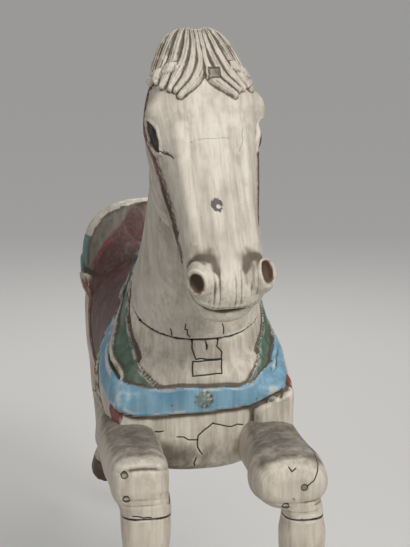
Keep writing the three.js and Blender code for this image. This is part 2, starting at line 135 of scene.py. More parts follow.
def old_paint(name, ground, shade, areas=(), lean=0.0, dirt_and_shade_color="#4a3c2d"):
    """Old oil paint on carved lime wood: chalky, with grime and painted shade in the hollows, and
    rubbed pale with a painted highlight on the edges.

    areas are painted over the ground: carried distance in mm, light and dark colour.
    lean turns the brush and grain lines, which run up and down, by degrees about X.
    """
    material, shader = bare_material(name)
    node = partial(add, material)

    def mask(strength, *values):
        """Up to strength, where every value has eased from its low to its high."""
        for value, low, high in values:
            part = node("MapRange", 0, {"Value": value, "From Min": low, "From Max": high},
                        interpolation_type="SMOOTHSTEP")
            strength = node("Math", 0, {0: part, 1: strength}, operation="MULTIPLY")
        return strength

    def coated(color, coat, strength, *values):
        """The colour under a coat that covers it as the mask says."""
        cover = mask(strength, *values)
        return node("Mix", 2, {0: cover, 6: color, 7: coat}, data_type="RGBA")

    where = node("TexCoord", "Object", {})
    turned = node("Mapping", 0, {"Vector": where, "Rotation": (math.radians(lean), 0.0, 0.0)},
                  vector_type="TEXTURE")
    brushed = node("Mapping", 0, {"Vector": turned, "Scale": (1.0, 1.0, 0.1)})
    clouds, patches, grit, kinks, flakes, strokes, runs = (
        node("TexNoise", 0, {"Vector": at, "Scale": 1000 / mm, "Detail": depth, "Roughness": rough})
        for at, mm, depth, rough in (
            (where, 110, 5, 0.6), (where, 26, 2, 0.6), (where, 3, 3, 0.6), (where, 9, 6, 0.6),
            (where, 30, 9, 0.72), (brushed, 5, 4, 0.6), (brushed, 14, 4, 0.6))
    )
    hollow, crack, dirt_and_shade = (
        node("Attribute", "Fac", {}, attribute_name=layer) for layer in ("hollow", "crack", "dirt_and_shade"))
    cloudy = node("Math", 0, {0: clouds, 1: 0.45}, operation="MULTIPLY")
    age = node("Math", 0, {0: runs, 1: 0.55, 2: cloudy}, operation="MULTIPLY_ADD")
    ragged = node("Math", 0, {0: kinks, 1: 5.0, 2: -2.5}, operation="MULTIPLY_ADD")
    # How much grime and painted shade a point takes: the extra it was given, its depth in a hollow,
    # and streaks
    hollow_dirt_and_shade = node("Math", 0, {0: dirt_and_shade, 1: 1.6, 2: hollow}, operation="MULTIPLY_ADD")
    dirt_and_shade_level = node("Math", 0, {0: runs, 1: 0.7, 2: hollow_dirt_and_shade}, operation="MULTIPLY_ADD")

    color = coated(linear(ground), linear(shade), 1.0, (age, 0.38, 0.72))
    for area, light, dark in areas:
        edge = node("Attribute", "Fac", {}, attribute_name=area)
        edge = node("Math", 0, {0: edge, 1: ragged}, operation="ADD")
        coat = coated(linear(light), linear(dark), 1.0, (age, 0.38, 0.64))
        color = coated(color, coat, 1.0, (edge, 0.35, -0.35))
        rim = node("Math", 0, {0: edge}, operation="ABSOLUTE")
        color = coated(color, linear("#4b4036"), 0.75, (rim, 2.6, 0.2), (patches, 0.4, 0.56))
    for coat, strength, *values in (
        ("#7b6e5c", 0.3, (strokes, 0.42, 0.72)),  # brush lines
        ("#8d7f6c", 0.3, (patches, 0.5, 0.75)),  # grime in soft patches
        ("#e6ddcd", 0.42, (hollow, -0.5, -1.3), (patches, 0.42, 0.62)),  # pale on the ridges: rubbed paint and a painted highlight
        (dirt_and_shade_color, 0.86, (dirt_and_shade_level, 0.51, 1.6)),  # grime and painted shade in the hollows and where each piece adds them
        ("#57493a", 0.5, (grit, 0.68, 0.74)),  # specks
        ("#6d5a47", 0.8, (flakes, 0.655, 0.675), (clouds, 0.42, 0.52)),  # flaked to brown wood
        ("#1d1712", 1.0, (crack, 0.25, 0.8)),  # cracks
    ):
        color = coated(color, linear(coat), strength, *values)

    dull = node("Math", 0, {0: grit, 1: 0.08, 2: 0.44}, operation="MULTIPLY_ADD")
    rough = node("Math", 0, {0: dull, 1: mask(0.31, (dirt_and_shade_level, -0.15, 1.35))}, operation="ADD")
    skin = node("Math", 0, {0: strokes, 1: 0.5, 2: grit}, operation="MULTIPLY_ADD")
    chips = mask(-1.4, (flakes, 0.655, 0.675), (clouds, 0.42, 0.52))
    skin = node("Math", 0, {0: skin, 1: chips}, operation="ADD")
    relief = node("Bump", 0, {"Height": skin, "Strength": 0.35, "Distance": 0.0011})
    feed(material, shader, {"Base Color": color, "Roughness": rough, "Normal": relief})
    return material


POST_BACK, SOCKET_BELOW = 520, 156  # post behind the rosette, foot of the belly socket below it
post_low, post_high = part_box("stand_post")
HORSE = np.array([
    0.0,
    500 * (post_low.y + post_high.y) - POST_BACK,
    1000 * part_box("belly_socket")[0].z + SOCKET_BELOW,
])


def rings(*rows, x=0.0):
    """Rings of a loft: y, z, turn, half width, reach over and under, and then square, flare and x.

    Square is 2 for an oval and more for a boxier ring. Flare widens a ring towards its top.
    """
    rest = (2.3, 0.0, x)
    return np.array([list(r) + list(rest[len(r) - 6 :]) for r in rows], float)


def between(table, step):
    """More rings between the given ones, on a smooth line that never overshoots."""
    run = np.linalg.norm(np.diff(table[:, [0, 1, 8]], axis=0), axis=1).clip(1e-3)
    at = np.concatenate([[0], np.cumsum(run)])
    rise = np.diff(table, axis=0) / run[:, None]
    slope = np.vstack([rise[:1], (rise[:-1] * run[1:, None] + rise[1:] * run[:-1, None])
                       / (run[1:] + run[:-1])[:, None], rise[-1:]])
    turning = rise[:-1] * rise[1:] <= 0
    slope[1:-1][turning] = 0
    fine = np.linspace(0, at[-1], max(2, int(at[-1] / step)))
    k = np.clip(np.searchsorted(at, fine, side="right") - 1, 0, len(run) - 1)
    h = run[k][:, None]
    t = ((fine - at[k]) / run[k])[:, None]
    return ((2 * t**3 - 3 * t**2 + 1) * table[k] + (t**3 - 2 * t**2 + t) * h * slope[k]
            + (3 * t**2 - 2 * t**3) * table[k + 1] + (t**3 - t**2) * h * slope[k + 1])


def closed_tube(sections):
    """Points and faces of a closed body through sections of equal size, faces outwards."""
    count, sides = len(sections), len(sections[0])
    middles = [np.mean(sections[0], 0), np.mean(sections[-1], 0)]
    points = np.vstack([np.reshape(sections, (-1, 3)), middles])
    a = np.arange(count - 1)[:, None] * sides + np.arange(sides)
    b = np.arange(count - 1)[:, None] * sides + (np.arange(sides) + 1) % sides
    quads = np.stack([a, b, b + sides, a + sides], -1).reshape(-1, 4).tolist()
    last = (count - 1) * sides
    first_cap = [[(i + 1) % sides, i, count * sides] for i in range(sides)]
    last_cap = [[last + i, last + (i + 1) % sides, count * sides + 1] for i in range(sides)]
    faces = quads + first_cap + last_cap
    fan = np.array([[f[0], f[i], f[i + 1]] for f in faces for i in range(1, len(f) - 1)])
    p, q, r = (points[fan[:, i]] for i in range(3))
    if np.einsum("ij,ij->i", p, np.cross(q, r)).sum() < 0:
        faces = [f[::-1] for f in faces]
    return points, faces


def loft(table, step=5.0, sides=72):
    """A smooth body through rings. Turn 0 stands upright across the horse, 90 lies flat."""
    rows = between(table, step)[:, None, :]
    y, z, turn, half, over, under, square, flare, x = (rows[..., i] for i in range(9))
    angle = np.linspace(0, 2 * np.pi, sides, endpoint=False)[None]
    across = np.sign(np.cos(angle)) * np.abs(np.cos(angle)) ** (2 / square)
    along = np.sign(np.sin(angle)) * np.abs(np.sin(angle)) ** (2 / square)
    reach = along * np.where(along > 0, over, under)
    tilt = np.radians(turn)
    return closed_tube(np.stack([x + across * half * (1 + flare * along),
                                 y - reach * np.sin(tilt), z + reach * np.cos(tilt)], -1))


def ball(centre, radii, sides=32):
    """An ellipsoid."""
    t = np.linspace(0.05, np.pi - 0.05, sides // 2)
    a = np.linspace(0, 2 * np.pi, sides, endpoint=False)
    ring = np.stack([np.outer(np.sin(t), np.cos(a)), np.outer(np.sin(t), np.sin(a)),
                     np.outer(np.cos(t), np.ones(sides))], -1)
    return closed_tube(ring * radii + centre)


def block(name, *bodies):
    """One mesh object of several bodies given in horse millimetres."""
    points, faces, count = [], [], 0
    for p, f in bodies:
        points.append(p)
        faces += [[i + count for i in face] for face in f]
        count += len(p)
    mesh = bpy.data.meshes.new(name)
    mesh.from_pydata(((np.vstack(points) + HORSE) / 1000).tolist(), [], faces)
    piece = bpy.data.objects.new(name, mesh)
    bpy.context.scene.collection.objects.link(piece)
    return piece


def bake(piece):
    """Applies the piece's modifiers."""
    bpy.context.view_layer.update()
    evaluated = piece.evaluated_get(bpy.context.evaluated_depsgraph_get())
    mesh = bpy.data.meshes.new_from_object(evaluated)
    piece.modifiers.clear()
    piece.data = mesh


def remesh(piece, size):
    """Makes overlapping bodies one skin of even quads."""
    voxels = piece.modifiers.new("remesh", "REMESH")
    voxels.mode, voxels.voxel_size = "VOXEL", size / 1000
    bake(piece)


def cut(piece, tool, operation="DIFFERENCE"):
    """Cuts or joins another body and removes it."""
    knife = piece.modifiers.new("cut", "BOOLEAN")
    knife.object, knife.operation, knife.solver = tool, operation, "MANIFOLD"
    bake(piece)
    bpy.data.objects.remove(tool)


def points_of(piece):
    """The piece's points in horse millimetres, and its outward normals."""
    co = np.empty(len(piece.data.vertices) * 3, np.float32)
    out = np.empty_like(co)
    piece.data.vertices.foreach_get("co", co)
    piece.data.vertices.foreach_get("normal", out)
    return co.reshape(-1, 3).astype(float) * 1000 - HORSE, out.reshape(-1, 3).astype(float)


def put(piece, points):
    """Moves the piece's points to the given places in horse millimetres."""
    piece.data.vertices.foreach_set("co", ((points + HORSE) / 1000).astype(np.float32).ravel())
    piece.data.update()


def edges_of(piece):
    """The two point numbers of each edge."""
    pairs = np.empty(len(piece.data.edges) * 2, np.int32)
    piece.data.edges.foreach_get("vertices", pairs)
    return pairs.reshape(-1, 2)


def averaged(values, pairs):
    """Each point's mean over its neighbours."""
    count = np.bincount(pairs.ravel(), minlength=len(values)).clip(1)
    total = np.stack([np.bincount(pairs[:, 0], values[pairs[:, 1], i], len(values))
                      + np.bincount(pairs[:, 1], values[pairs[:, 0], i], len(values))
                      for i in range(values.shape[1])], -1)
    return total / count[:, None]


def smooth(piece, rounds):
    """Rubs the surface down. Each round pulls it in and swells it again, so it doesn't shrink."""
    points, pairs = points_of(piece)[0], edges_of(piece)
    for _ in range(rounds):
        for share in (0.5, -0.53):
            points += share * (averaged(points, pairs) - points)
    put(piece, points)


def outline_distance(flat, outline, closed=True):
    """Distance of flat points from a line, negative inside it or to its left, and the nearest
    points of the line."""
    line = np.array(outline, float)
    start, end = (line, np.roll(line, -1, 0)) if closed else (line[:-1], line[1:])
    best, near = np.full(len(flat), 1e9), np.zeros_like(flat)
    inside = np.zeros(len(flat), bool)
    side = np.ones(len(flat))
    for a, b in zip(start, end):
        d = b - a
        t = np.clip(((flat - a) @ d) / (d @ d), 0, 1)
        foot = a + t[:, None] * d
        gap = np.linalg.norm(flat - foot, axis=1)
        closer = gap < best
        best[closer], near[closer] = gap[closer], foot[closer]
        cross = d[0] * (flat[:, 1] - a[1]) - d[1] * (flat[:, 0] - a[0])
        side[closer] = np.where(cross[closer] > 0, -1, 1)
        crosses = (a[1] > flat[:, 1]) != (b[1] > flat[:, 1])
        meets = (b[0] - a[0]) * (flat[:, 1] - a[1]) / (b[1] - a[1] + 1e-12) + a[0]
        inside ^= crosses & (flat[:, 0] < meets)
    return best * (np.where(inside, -1, 1) if closed else side), near


def bell(gap, width):
    """1 on a line, fading to nothing on both sides of it."""
    return np.exp(-((gap / width) ** 2))


def step_up(gap, width):
    """0 outside an outline to 1 inside it, over a bevel of that width."""
    t = np.clip(0.5 - gap / width, 0, 1)
    return t * t * (3 - 2 * t)


def raise_inside(points, normals, outline, height, bevel):
    """Raises the skin inside an outline drawn from the side. Points near its edge move onto it."""
    gap, near = outline_distance(points[:, 1:], outline)
    edge = np.abs(gap) < 1.6
    shift = np.zeros_like(points)
    shift[edge, 1:] = near[edge] - points[edge, 1:]
    shift -= np.einsum("ij,ij->i", shift, normals)[:, None] * normals
    points += shift
    points += (height * step_up(gap, bevel))[:, None] * normals
    return gap


def tag(piece, name, values):
    """Lets the mesh carry one value for each point."""
    layer = piece.data.attributes.new(name, "FLOAT", "POINT")
    layer.data.foreach_set("value", np.asarray(values, np.float32))


def weather_and_shade(piece, dirt_and_shade=0.0):
    """Carries how far each point lies in a hollow, in mm, and the extra darkening given, grime and
    painted shade.
    """
    points, normals = points_of(piece)
    pairs = edges_of(piece)
    soft = points
    for _ in range(5):
        soft = averaged(soft, pairs)
    tag(piece, "hollow", np.einsum("ij,ij->i", soft - points, normals))
    tag(piece, "dirt_and_shade", np.clip(dirt_and_shade + np.zeros(len(points)), 0, 1))


def ragged_line(line, step, wander, seed):
    """The line with small kinks, as wood and paint crack."""
    rng = np.random.default_rng(seed)
    line = np.array(line, float)
    out = [line[0]]
    for a, b in zip(line[:-1], line[1:]):
        parts = max(1, int(np.linalg.norm(b - a) / step))
        out += [a + (b - a) * k / parts + rng.normal(0, wander, 2) * (k < parts)
                for k in range(1, parts + 1)]
    return out


def crack_distance(points, marks):
    """Distance of each point from the nearest crack."""
    best = np.full(len(points), 50.0)
    for line, axes, place, where in marks:
        near = where(place(points))
        flat = place(points)[near][:, axes]
        best[near] = np.minimum(best[near], np.abs(outline_distance(flat, line, closed=False)[0]))
    return best


def split_near(piece, distance, reaches=(4.5, 2.6)):
    """Makes the mesh finer near the cracks, one halving for each reach."""
    for reach in reaches:
        close = distance(points_of(piece)[0]) < reach
        mesh = bmesh.new()
        mesh.from_mesh(piece.data)
        mesh.verts.ensure_lookup_table()
        chosen = [e for e in mesh.edges if close[e.verts[0].index] and close[e.verts[1].index]]
        bmesh.ops.subdivide_edges(mesh, edges=chosen, cuts=1, use_grid_fill=True)
        mesh.to_mesh(piece.data)
        mesh.free()


def crack(piece, marks, width=1.3, depth=1.6):
    """Opens cracks along the marks: line, its two axes, its frame and where it runs."""
    split_near(piece, lambda points: crack_distance(points, marks))
    points, normals = points_of(piece)
    gap = crack_distance(points, marks)
    put(piece, points - (depth * np.clip(1 - gap / width, 0, 1))[:, None] * normals)
    return gap


as_is = lambda points: points


TRUNK = rings(
    (-4, -16, 0, 92, 52, 52, 2.6), (6, -16, 0, 118, 76, 82, 2.8), (30, -12, 0, 134, 96, 114, 2.6),
    (72, -4, 0, 148, 116, 132, 2.4), (130, 0, 0, 144, 130, 139), (220, 0, 0, 134, 142, 144),
    (320, -5, 0, 130, 138, 144), (430, -5, 0, 132, 135, 138), (540, 2, 0, 130, 136, 125),
    (640, 15, 0, 122, 132, 108), (730, 25, 0, 120, 116, 92), (810, 20, 0, 100, 92, 75),
    (860, 12, 0, 70, 62, 50), (882, 8, 0, 36, 30, 26),
)
NECK = rings(
    (110, 20, 90, 124, 110, 140, 2.3, 0, 4), (112, 88, 84, 117, 108, 152, 2.3, 0, 5),
    (116, 147, 80, 101, 112, 142, 2.3, 0, 3), (122, 210, 78, 80, 114, 128, 2.2),
    (124, 294, 76, 65, 104, 116, 2.2), (114, 370, 72, 57, 86, 104, 2.2),
    (98, 440, 64, 50, 66, 86, 2.2), (76, 500, 54, 42, 46, 58, 2.2),
)
SHOULDER = rings(
    (-6, -14, 0, 24, 26, 36, 4), (8, -12, 0, 29, 40, 42, 3.6), (40, -8, 0, 38, 58, 48, 3),
    (80, -6, 0, 44, 70, 56, 2.6), (130, -2, 0, 44, 78, 66, 2.4), (190, 0, 0, 30, 56, 60, 2.2),
)
SHOULDER_OUT = {-1: 105, 1: 111}  # from the middle, on the right and left side
# The squared block above the left foreleg
SHOULDER_BLOCK = rings(
    (-25, -31, 0, 24, 13, 15, 7), (-22, -31, 0, 27, 16, 18, 8), (0, -31, 0, 32, 16, 18, 8),
    (40, -31, 0, 38, 18, 20, 7), (80, -31, 0, 34, 16, 18, 4), x=112,
)
HIND_LEG = rings(
    (884, -444, 120, 36, 42, 32), (861, -406, 120, 29, 30, 26), (846, -381, 118, 22, 20, 21),
    (832, -354, 112, 27, 24, 27), (820, -318, 104, 25, 21, 22), (806, -262, 103, 27, 22, 24),
    (796, -212, 101, 31, 30, 34), (786, -180, 104, 33, 33, 43), (762, -144, 124, 37, 40, 40),
    (728, -108, 132, 43, 54, 50), (704, -66, 124, 48, 78, 66), (694, -14, 106, 50, 92, 88),
    (692, 46, 94, 40, 60, 60),
)
HIND_SPREAD = np.array([72, 73, 74, 75, 76, 78, 80, 80, 80, 80, 79, 78, 76], float)
LEFT_HIND_BACK = 36  # the left hoof trails the right one
NECK_PLANE = {"through": (0, 0, 90), "lean": 29}
NECK_NORMAL = np.array([0, -math.sin(math.radians(29)), math.cos(math.radians(29))])
GASKIN_PLANE = {"through": (0, 738, -112), "lean": 42}
GLUE_LINE = 0.3


def hind_leg(side):
    """The whole hind leg; its top is part of the trunk."""
    table = HIND_LEG.copy()
    back = LEFT_HIND_BACK * np.clip(1 - np.arange(len(table)) / 8, 0, 1) * (side > 0)
    table[:, 0] += back
    table[:, 1] += 0.8 * back
    table[:, 8] = side * HIND_SPREAD
    return loft(table)


def trim(piece, through, lean, keep_above, gap=0.0):
    """Saws the piece across at a leaning plane and closes the sawn face."""
    n = Vector((0, -math.sin(math.radians(lean)), math.cos(math.radians(lean))))
    mesh = bmesh.new()
    mesh.from_mesh(piece.data)
    place = Vector((HORSE + np.array(through)) / 1000) + n * gap / 1000
    every = mesh.verts[:] + mesh.edges[:] + mesh.faces[:]
    sawn = bmesh.ops.bisect_plane(mesh, geom=every, dist=1e-7, plane_co=place, plane_no=n,
                                  clear_inner=keep_above, clear_outer=not keep_above)
    rim = [e for e in sawn["geom_cut"] if isinstance(e, bmesh.types.BMEdge)]
    bmesh.ops.triangle_fill(mesh, use_beauty=True, edges=rim)
    bmesh.ops.recalc_face_normals(mesh, faces=mesh.faces)
    mesh.to_mesh(piece.data)
    mesh.free()


def neck_joint(points, normals):
    """Distance from the neck's glue joint, and how far the wood has shrunk back along it."""
    glue = (points - NECK_PLANE["through"]) @ NECK_NORMAL
    return glue, 1.8 * bell(glue, 2.2) * (np.abs(normals @ NECK_NORMAL) < 0.8)


def painted(piece, paint):
    """Gives a carved piece its paint, on a surface shaded smooth."""
    piece.data.materials.clear()
    piece.data.materials.append(paint)
    piece.data.polygons.foreach_set("use_smooth", [True] * len(piece.data.polygons))


def shoulder(side):
    """One shoulder, carved proud of the breast."""
    table = SHOULDER.copy()
    table[:, 8] = side * SHOULDER_OUT[side]
    return loft(table)


trunk = block("carved_trunk", loft(TRUNK), shoulder(-1), shoulder(1), hind_leg(-1), hind_leg(1))
neck_root = block("neck_root", loft(NECK))
trim(neck_root, **NECK_PLANE, keep_above=False)
cut(trunk, neck_root, "UNION")
remesh(trunk, 5.0)
smooth(trunk, 8)

CANTLE = rings(
    (470, 60, 0, 112, 62, 60, 2.4), (515, 80, 0, 134, 118, 80, 2.6),
    (552, 100, 0, 145, 131, 90, 2.75), (566, 100, 0, 145, 130, 90, 2.75),
    (584, 90, 0, 134, 96, 80, 2.5),
)
POMMEL = rings(
    (176, 60, 0, 60, 78, 40), (196, 60, 0, 80, 104, 50), (222, 60, 0, 90, 108, 50),
    (262, 60, 0, 96, 74, 50),
)
cantle = block("cantle", loft(CANTLE, sides=96))
cut(cantle, block("dish", ball((0, 430, 262), (134, 125, 128), 64)))
BLOCK_EDGE, BLOCK_HEIGHT, STRAP_CLIMB = 84, -31, 0.5  # inner edge, middle, slope of the top
squared = loft(SHOULDER_BLOCK, 3.0, 96)
climbing = squared[0][:, 2] > BLOCK_HEIGHT
squared[0][:, 2] += STRAP_CLIMB * climbing * (squared[0][:, 0] - BLOCK_EDGE)
for extra in (cantle, block("pommel", loft(POMMEL)), block("shoulder_block", squared)):
    cut(trunk, extra, "UNION")
remesh(trunk, 3.5)
smooth(trunk, 2)
trim(trunk, **NECK_PLANE, keep_above=False)
trim(trunk, **GASKIN_PLANE, keep_above=True)

# The breast falls away above the strap on the left side, over the squared shoulder
FALL = 30
points = points_of(trunk)[0]
x, y, z = points.T
away = np.clip((x - 66) / 80, 0, 1) ** 1.4 * np.clip((z - 10) / 30, 0, 1)
y += FALL * away * np.clip(1 - (y - 30) / 90, 0, 1)
put(trunk, points)

# The cracks of the breast: line, step and wander of its kinks, seed, lowest and highest place.
# The first two go round a repair that was let in above the strap.
BREAST_CRACKS = (
    ([(-16, 99), (-15, 80), (-9, 62), (31, 61), (32, 72), (24, 81), (27, 99)], 8, 0.5, 3, 30, 110),
    ([(-14, 59), (-15, 37), (31, 39), (32, 60), (-14, 59)], 9, 0.4, 4, 30, 110),
    ([(17, -40), (4, -50), (-7, -60), (-7, -80), (1, -94)], 8, 1.3, 5, -130, -20),
    ([(-40, -60), (-22, -66), (-7, -67)], 8, 1.3, 6, -130, -20),
    ([(16, -41), (38, -47), (64, -46)], 8, 1.3, 7, -130, -20),
    ([(-8, -100), (-9, -118)], 8, 1.3, 8, -130, -20),
    ([(-128, -47), (-96, -52), (-62, -49)], 6, 1.5, 11, -60, -40),
)
CHIP = [(6, 89), (9, 83), (8, 77), (7, 88)]
breast = lambda low, high: (lambda p: (p[:, 1] < 60) & (p[:, 2] > low) & (p[:, 2] < high))
marks = [(ragged_line(line, step, wander, seed), (0, 2), as_is, breast(low, high))
         for line, step, wander, seed, low, high in BREAST_CRACKS]
marks.append((CHIP, (0, 2), as_is, breast(60, 100)))
gap = crack(trunk, marks)

# The harness in relief. Strap, collar and leaf are drawn unrolled: the way round from the rosette,
# then the height. The strap's rows give way, lower and upper edge, on the right and left side.
STRAP = {
    -1: ((0, -21, 19), (75, -23, 21), (105, -21, 24), (135, -11, 30), (165, -3, 38), (191, 4, 43),
         (229, 22, 64), (272, 48, 84), (330, 90, 120)),
    1: ((0, -21, 19), (58, -16, 18), (84, -12, 23), (108, 1, 34), (140, 14, 45), (170, 24, 54),
        (220, 44, 72), (280, 76, 104)),
}
COLLAR = [(56, -6), (73, 24), (91, 36), (124, 60), (163, 84), (186, 111), (210, 140), (250, 172),
          (300, 222), (330, 262), (372, 262), (330, 200), (296, 150), (280, 112), (262, 88),
          (229, 72), (191, 50), (146, 34), (122, 12), (110, -6)]
COLLAR_EDGE = COLLAR[10:18]
LEAF = {
    -1: [(124, -17), (140, -9), (172, -4), (182, -20), (172, -38), (154, -54), (139, -42),
         (127, -28)],
    1: [(142, -16), (186, -16), (190, 36), (160, 36), (142, 14)],
}
# The saddle flap and the inner line of its red band, drawn from the side
FLAP = [(196, 400), (194, 200), (182, 130), (168, 90), (156, 50), (140, 0), (148, -60), (266, -78),
        (350, -72), (440, -24), (505, 36), (530, 66), (545, 110), (575, 400)]
FLAP_RIM = [(222, 420), (212, 200), (199, 130), (185, 90), (173, 50), (158, 4), (166, -44),
            (270, -60), (346, -56), (425, -10), (482, 46), (508, 80), (620, 150), (620, 420)]
STRAP_RISE, FLAP_RISE, PANEL_DROP, COLLAR_RISE, ROLL_RISE, GROOVE = 6.5, 8.0, 3.5, 4.0, 5.0, 3.5
STRAP_END, ROLL_WIDTH = 170, 9

points, normals = points_of(trunk)
x, y, z = points.T
way = np.abs(x) + np.clip(y + 5, 0, None)
unrolled = np.column_stack([way, z])
on_right, ahead = x < 0, y < 300
strap_low, strap_high = (
    np.where(on_right, *(np.interp(way, *np.array(STRAP[side])[:, [0, k]].T) for side in (-1, 1)))
    for k in (1, 2))
strap_gap = np.maximum(strap_low - z, z - strap_high) * 0.9
off_flap = -outline_distance(points[:, 1:], FLAP)[0]
strap_gap = np.max([strap_gap, y - STRAP_END, off_flap], axis=0)
collar_gap = np.where(ahead, outline_distance(unrolled, COLLAR)[0], 50)
edge_gap = np.where(ahead, outline_distance(unrolled, COLLAR_EDGE, closed=False)[0], 50)
edge_gap = np.where(collar_gap < 0, np.abs(edge_gap) - ROLL_WIDTH, 50)
collar_gap = np.maximum(collar_gap, -strap_gap)
run_out = np.where(z > 90, np.clip((502 - y) / 40, 0, 1), 1)
flap_gap = raise_inside(points, normals, FLAP, FLAP_RISE * run_out, bevel=4.0)
rim_gap = outline_distance(points[:, 1:], FLAP_RIM)[0]
points -= (PANEL_DROP * step_up(rim_gap, 6))[:, None] * normals
rounded = np.sqrt(np.clip(1 - ((edge_gap + 4.5) / 5.0) ** 2, 0, 1)) * (edge_gap < 0.5)
points += (COLLAR_RISE * step_up(collar_gap, 3) + ROLL_RISE * rounded)[:, None] * normals
sunk = bell(collar_gap - 3, 2.4) * (z < 170) * (way > 120) * (strap_gap > -2)
glue, seam = neck_joint(points, normals)
points += (STRAP_RISE * step_up(strap_gap, 3.0) - GROOVE * sunk - seam)[:, None] * normals

# Rosette: a domed boss with eight petals round a ring
PETALS, BOSS_RADIUS, BOSS_RISE, RING_RADIUS, RING_DEPTH = 8, 13, 4.5, 6, 2.0
from_middle = np.hypot(x - 1, z - 1)
petal = 1 + 0.25 * np.cos(PETALS * np.arctan2(z - 1, x - 1))
boss = (from_middle < 16) & (y < 0)
dome = BOSS_RISE * np.clip(1 - (from_middle / (BOSS_RADIUS * petal)) ** 4, 0, 1)
y -= boss * (dome - RING_DEPTH * bell(from_middle - RING_RADIUS, 1.5))
put(trunk, points)

# Where each colour lies, as a distance that is negative inside
CANTLE_FRONT, CANTLE_RIM = 480, 0.97  # where the cantle starts, its rim as a share of its size
rim_place = (np.abs(x / 141) ** 2.7 + np.abs((z - 100) / 128) ** 2.7) ** (1 / 2.7)
seat_line = np.interp(np.abs(x), [0, 50, 103, 126, 134], [226, 205, 150, 112, 57])
above_seat = 0.7 * (z - seat_line)
on_rim = np.where(y > 500, 120 * (rim_place - 0.94), -9)
facing_front = 12 * (normals[:, 1] + 0.25)
outside = np.max([524 - y, y - 590, 120 * (0.95 - rim_place), z - 160], axis=0)
on_cantle = (y > 485) & (rim_place < CANTLE_RIM)
stripe = np.abs(above_seat + 3) - 4 + 3 * (z > 160)
leaf_right, leaf_left = (outline_distance(unrolled, LEAF[side])[0] for side in (-1, 1))
for area, distance in (
    ("strap", strap_gap),
    ("rosette", np.where(y < 0, from_middle - BOSS_RADIUS, 9)),
    ("green", np.maximum(collar_gap + 0.5, -edge_gap)),
    ("collar_rim", np.maximum(collar_gap, edge_gap)),
    ("flap", np.max([flap_gap, rim_gap, on_rim], axis=0)),
    ("band", np.maximum(flap_gap + 1, -rim_gap)),
    ("cantle_front", np.max([CANTLE_FRONT - y, facing_front, -above_seat, on_rim], axis=0)),
    ("cantle_back", np.maximum(np.minimum(outside, np.maximum(570 - y, y - 590)), 66 - z)),
    ("stripe", np.where(on_cantle, stripe, 9)),
    ("leaf", np.where(on_right, leaf_right, leaf_left)),
):
    tag(trunk, area, distance)
in_crack, in_joint = np.clip(1.25 - gap / 1.5, 0, 1), np.clip(1.15 - np.abs(glue) / 2.0, 0, 1)
tag(trunk, "crack", np.maximum(in_crack, in_joint))

# Painted shade under the breast, at the foot of the harness and by the squared block, darker cantle
# lines, and dark joints
keel_shade = np.clip((-34 - z) / 60, 0, 1) * np.clip((150 - y) / 60, 0, 1)
# The painted shade under the breast is darker on the horse's right side, turned from the key light
keel_shade *= 0.55 - 0.35 * np.clip((x + 10) / 60, -1, 1)
# Painted shade with some grime at the foot of the strap and the collar
edge_shade_and_dirt = 0.35 * bell(strap_gap - 1.5, 1.8) + 0.6 * sunk
edge_shade_and_dirt += 0.4 * bell(collar_gap - 1.2, 1.5) * (way < 230) * (strap_gap > 1)
# Darker along the seat line and the rim of the cantle
cantle_darkening = (0.5 * bell(above_seat - 2, 2) + 0.4 * bell(on_rim + 1, 3)) * on_cantle
# A painted shadow along the inner edge of the squared block
block_shadow = 0.9 * bell(x - BLOCK_EDGE, 3) * (y < 10) * (z < 0) * (z > -60)
weather_and_shade(trunk, keel_shade + edge_shade_and_dirt + cantle_darkening + 1.5 * bell(glue, 1.8) + block_shadow)

# Aged oil paint in cream, with the harness in faded blue, green and oxide red: a dull skin, grimy
# and darkened with painted shade in the hollows, and flaked to brown wood here and there.
aged_cream = old_paint("aged_cream_paint", "#d5ccbd", "#a5998a", areas=(
    ("flap", "#633b35", "#432c28"),
    ("band", "#93483f", "#5f2d28"),
    ("stripe", "#8f4038", "#5c2d28"),
    ("cantle_front", "#7d766b", "#565048"),
    ("cantle_back", "#6f9396", "#46625f"),
    ("leaf", "#8e3029", "#6a2620"),
    ("collar_rim", "#b7b0a2", "#847d70"),
    ("green", "#5d7865", "#3d5346"),
    ("strap", "#7fa9be", "#5f8ba2"),
    ("rosette", "#7c8f8b", "#596a66"),
))
painted(trunk, aged_cream)
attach(trunk, "root")
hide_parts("trunk")

# ---- Neck and head -----------------------------------------------------------------------------
# One block of lime wood from the chest joint to the nose, glued on the trunk, with the forelock,
# mane, ears and bridle carved in relief. The face is worked in the head's own frame.

HEAD_PLACE, HEAD_TURN, HEAD_PITCH = (6, -20, 455), 3, 55
HEAD = (Matrix.Translation(HEAD_PLACE) @ Matrix.Rotation(math.radians(HEAD_TURN), 4, "Z")
        @ Matrix.Rotation(math.radians(HEAD_PITCH), 4, "X"))
HEAD_AXES, HEAD_PLACE = np.array(HEAD.to_3x3()), np.array(HEAD_PLACE, float)
FACE = rings(
    (-305, -38, 0, 28, 16, 18, 2.3), (-297, -40, 0, 43, 29, 26, 2.4),
    (-282, -43, 0, 53, 41, 35, 2.5), (-255, -46, 0, 57, 46, 40, 2.5, 0.04),
    (-222, -50, 0, 56, 47, 46, 2.6, 0.1),
    (-185, -58, 0, 59, 54, 54, 2.7, 0.12), (-140, -66, 0, 65, 62, 68, 2.8, 0.08),
    (-90, -76, 0, 74, 73, 84, 2.9, 0.02), (-45, -78, 0, 79, 78, 88, 3.0, 0.05),
    (0, -74, 0, 83, 77, 86, 3.0, 0.1), (35, -64, 0, 79, 72, 82, 2.6, 0.04),
    (75, -56, 0, 67, 64, 78, 2.3), (108, -52, 0, 57, 54, 66, 2.2), (132, -49, 0, 42, 40, 48, 2.1),
    (146, -48, 0, 24, 22, 28, 2),
)


